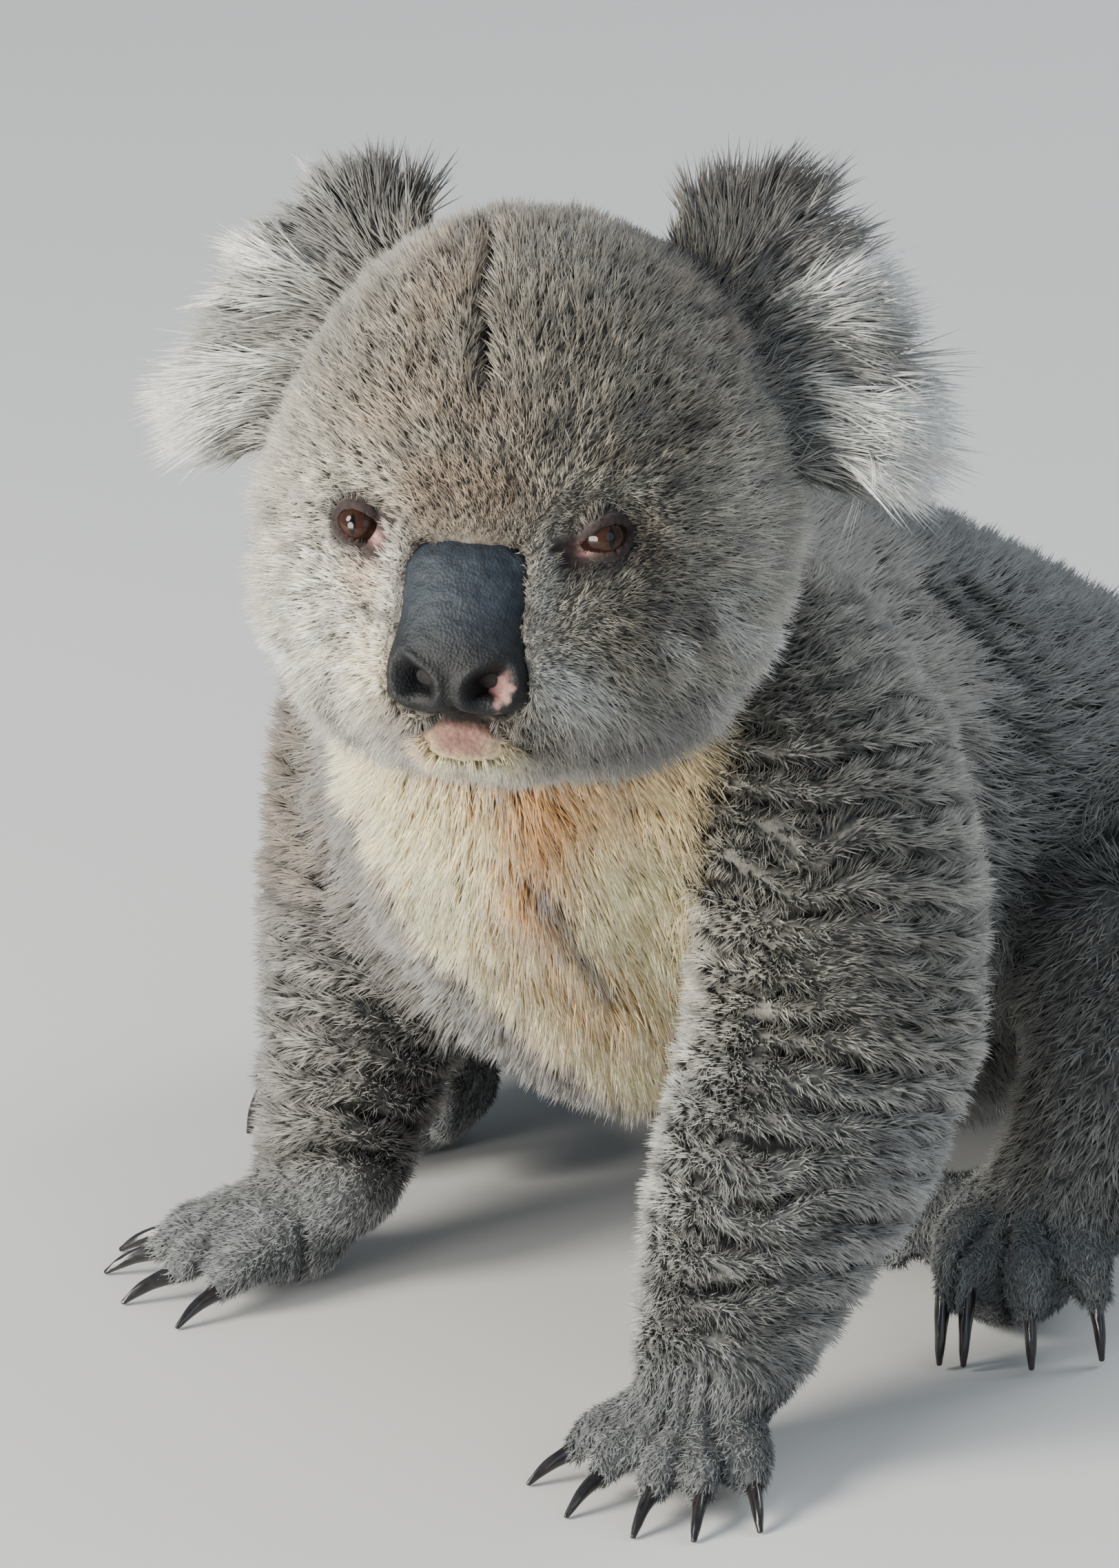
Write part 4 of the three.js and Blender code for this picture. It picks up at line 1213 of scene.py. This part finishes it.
def spreadRoots(rng):
    # Roots over the skin's faces, closer together where the hair is finer and none where the skin is bare:
    # each root's face, and its place within it as shares of the three corners.
    a, b, c = (skinVerts[skinFaces[:, k]] for k in range(3))
    area = np.linalg.norm(np.cross(b - a, c - a), axis=1) / 2 / mm ** 2
    middle = (a + b + c) / 3
    width = np.maximum(fieldOf(skinWeights[skinFaces].mean(axis=1), 2), 0.9) * fineness(middle)
    bare = skinBare[skinFaces].mean(axis=1)
    density = (1 - smooth(0.2, 0.5, bare)) / (width * tuftSet["spacing"]) ** 2
    density = density * np.where(middle[:, 2] < 2.5 * mm, 0.3, 1)
    faceOf = np.repeat(np.arange(len(area)), np.floor(area * density + rng.random(len(area))).astype(int))
    return faceOf, rng.dirichlet([1, 1, 1], len(faceOf))


def swayed(way, normal, p, weights):  # the tufts lean to either side by smooth noise, less on the arms
    lean = noise(p, 22, 41) + 0.9 * noise(p, 7, 42) + 0.8 * noise(p, 3.5, 43)
    yaw = np.radians(tuftSet["sway"] * lean * (1 - 0.45 * shareOf(weights, "forearm", "upper_arm")))
    return way * np.cos(yaw)[:, None] + unit(np.cross(way, normal)) * np.sin(yaw)[:, None]


def ruffOf(root, onHead):  # the longer hair round the lower cheeks and the sides of the head
    x, y, z = toHead(root).T
    cheeks = smooth(-30, -54, z) * smooth(16, 34, np.abs(x))
    sides = 0.6 * smooth(54, 70, np.abs(x)) * smooth(30, 0, z)
    return onHead * np.maximum(cheeks, sides)


def earHair(root, hand):
    # What an ear adds to its hair's length and height in mm, and how many of its tufts are left out. The
    # hair is long on the outer side and low down, and short on the inner side and behind.
    rim, outer, ahead, topDark = earFields(root, hand)
    locks, within = earLocks(root, hand), np.clip(1 - rim, 0, 1)
    low = smooth(-4, -34, toEar(root, hand)[:, 2])
    long = ahead * outer * (earSet["tips"][hand] + 26 * within)
    long = long - 1.5 * ahead * (1 - outer) - 4 * (1 - ahead) + 5 * topDark
    long = long + 4 * ahead * noise(root / mm, 6, 44) + 11 * ahead * low + 5 * ahead * (locks - 0.5)
    high = 3.0 + ahead * (-1.5 + 5 * locks + 7 * outer * within)
    return long, high, ahead * outer * (1 - locks)


def plantCoat(rng):
    # The coat's roots, each with its way, width, length, height and colour. The hair is short and low in a
    # furrow, and a tuft whose end would lie over one is shortened.
    faceOf, share = spreadRoots(rng)
    take = lambda values: atCorners(values, skinFaces, faceOf, share)
    root, weights, normal = take(skinVerts), take(skinWeights), unit(take(skinNormals))
    p = root / mm
    way = swayed(lieOfCoat(root, normal, weights), normal, p, weights)
    length = fieldOf(weights, 1) * (1 - 0.62 * faceDepth(root))
    furrow, crease = furrowField(root, weights), creaseField(root, weights)
    half, full = (furrowField(root + way * (length * reach * mm)[:, None], weights) for reach in (0.45, 0.8))
    ending = np.maximum(half, full * 0.9)
    length = length * (1 - 0.35 * furrow) * (1 - 0.5 * ending)
    height = coatDepth(root, fieldOf(weights, 0)) * (1 - 0.6 * furrow) * (1 - 0.35 * ending)
    height = height * (1 - 0.5 * crease) + 0.6
    onHead = weights[:, region["head"]] + weights[:, region["jaw"]]
    ruff = ruffOf(root, onHead)
    length, height = length + 8.5 * ruff, height + 3.0 * ruff
    length = length * (1 + (0.22 + 0.2 * ruff) * noise(p, 5, 46))
    height = height * (1 + (0.3 + 0.15 * onHead + 0.15 * ruff) * noise(p, 6, 45))
    gaps = 1.05 * smooth(0.2, 0.6, furrow)
    for hand, name in ((1, "ear_left"), (-1, "ear_right")):
        onEar = weights[:, region[name]]
        long, high, apart = earHair(root, hand)
        length = length + onEar * (long + rng.normal(size=len(root)) * 1.5)
        height = height + onEar * high
        gaps = np.maximum(gaps, 0.7 * onEar * apart)
    # Painted shade: the hair's colour darkened in the furrows and in the dips between the digits.
    colour = coatMarks(root, weights) * (1 - 0.7 * np.maximum(furrow, crease))[:, None]
    layout = sum(skinLayout[faceOf][:, k] * share[:, k][:, None] for k in range(3))
    keep = rng.random(len(root)) > gaps
    made = dict(
        root=root, normal=normal, way=way, width=fieldOf(weights, 2) * fineness(root) + 0.2, length=length,
        height=height, colour=colour, ending=full, layout=layout, weights=weights)
    return {key: value[keep] for key, value in made.items()}


rng = np.random.default_rng(7)
coatRoots = plantCoat(rng)
print("coat planted", len(coatRoots["root"]), "tufts")


def coatGroups():
    # Which piece each tuft belongs to, by the region it stands on and the side of the body.
    owner = np.array(regionNames)[np.argmax(coatRoots["weights"], axis=1)]
    left = coatRoots["root"][:, 0] > 0
    behind = toHead(coatRoots["root"])[:, 1]
    onHead = np.isin(owner, ["head", "jaw", "nose"])
    starts = lambda *names: np.array([item.startswith(names) for item in owner])
    groups = dict(
        head_face=(onHead & (behind < -32), "head_coat"),
        head_top=(onHead & (behind >= -32) & (behind < 4), "head_coat"),
        head_back=(onHead & (behind >= 4), "head_coat"),
        throat=(starts("neck", "chest"), "pale_coat"))
    for side, mask in (("left", left), ("right", ~left)):
        groups["body_" + side] = (starts("trunk") & mask, "grey_coat")
        groups["rump_" + side] = (starts("rump") & mask, "grey_coat")
        groups["arm_" + side] = (starts("upper_arm_" + side, "forearm_" + side), "grey_coat")
        groups["leg_" + side] = (starts("thigh_" + side, "shank_" + side), "grey_coat")
        groups["paws_" + side] = (starts("hand_" + side, "foot_" + side), "paw_coat")
        groups["ear_" + side] = (starts("ear_" + side), "ear_coat")
    return groups


furMaterial = hairMaterial(
    "coatHair", "coatColor", roughness=0.8, sheen=0.3, size=500.0, strength=0.25, bump=0)
# How each part of the coat is made: strands to a tuft, rings along a strand, how far it bows, its scatter
# in degrees, its thickness against its width, the shade at its root and how much the tufts differ in tone.
plainLook = dict(strands=4, rings=1, bend=1.0, jitter=22, thick=0.8, rootShade=0.34, speck=0.9)
coatLooks = dict(
    head=dict(plainLook, strands=6, jitter=26, rootShade=0.32, speck=1.0),
    throat=dict(plainLook, strands=6, jitter=9, thick=0.5, rootShade=1.0, speck=0.3),
    ear=dict(plainLook, strands=9, rings=2, bend=0.6, jitter=6, thick=0.4, rootShade=0.75, speck=0.3),
    arm=dict(plainLook, strands=6, jitter=13, rootShade=0.3), body=dict(plainLook, strands=5),
    rump=plainLook, leg=plainLook, paws=dict(plainLook, rootShade=0.4, speck=0.8))
triangles = 0
for name, (chosen, slotName) in coatGroups().items():
    triangles += makeCoat("coat_" + name, chosen, furMaterial, rng, coatLooks[name.split("_")[0]])
print("coat made", triangles, "triangles")
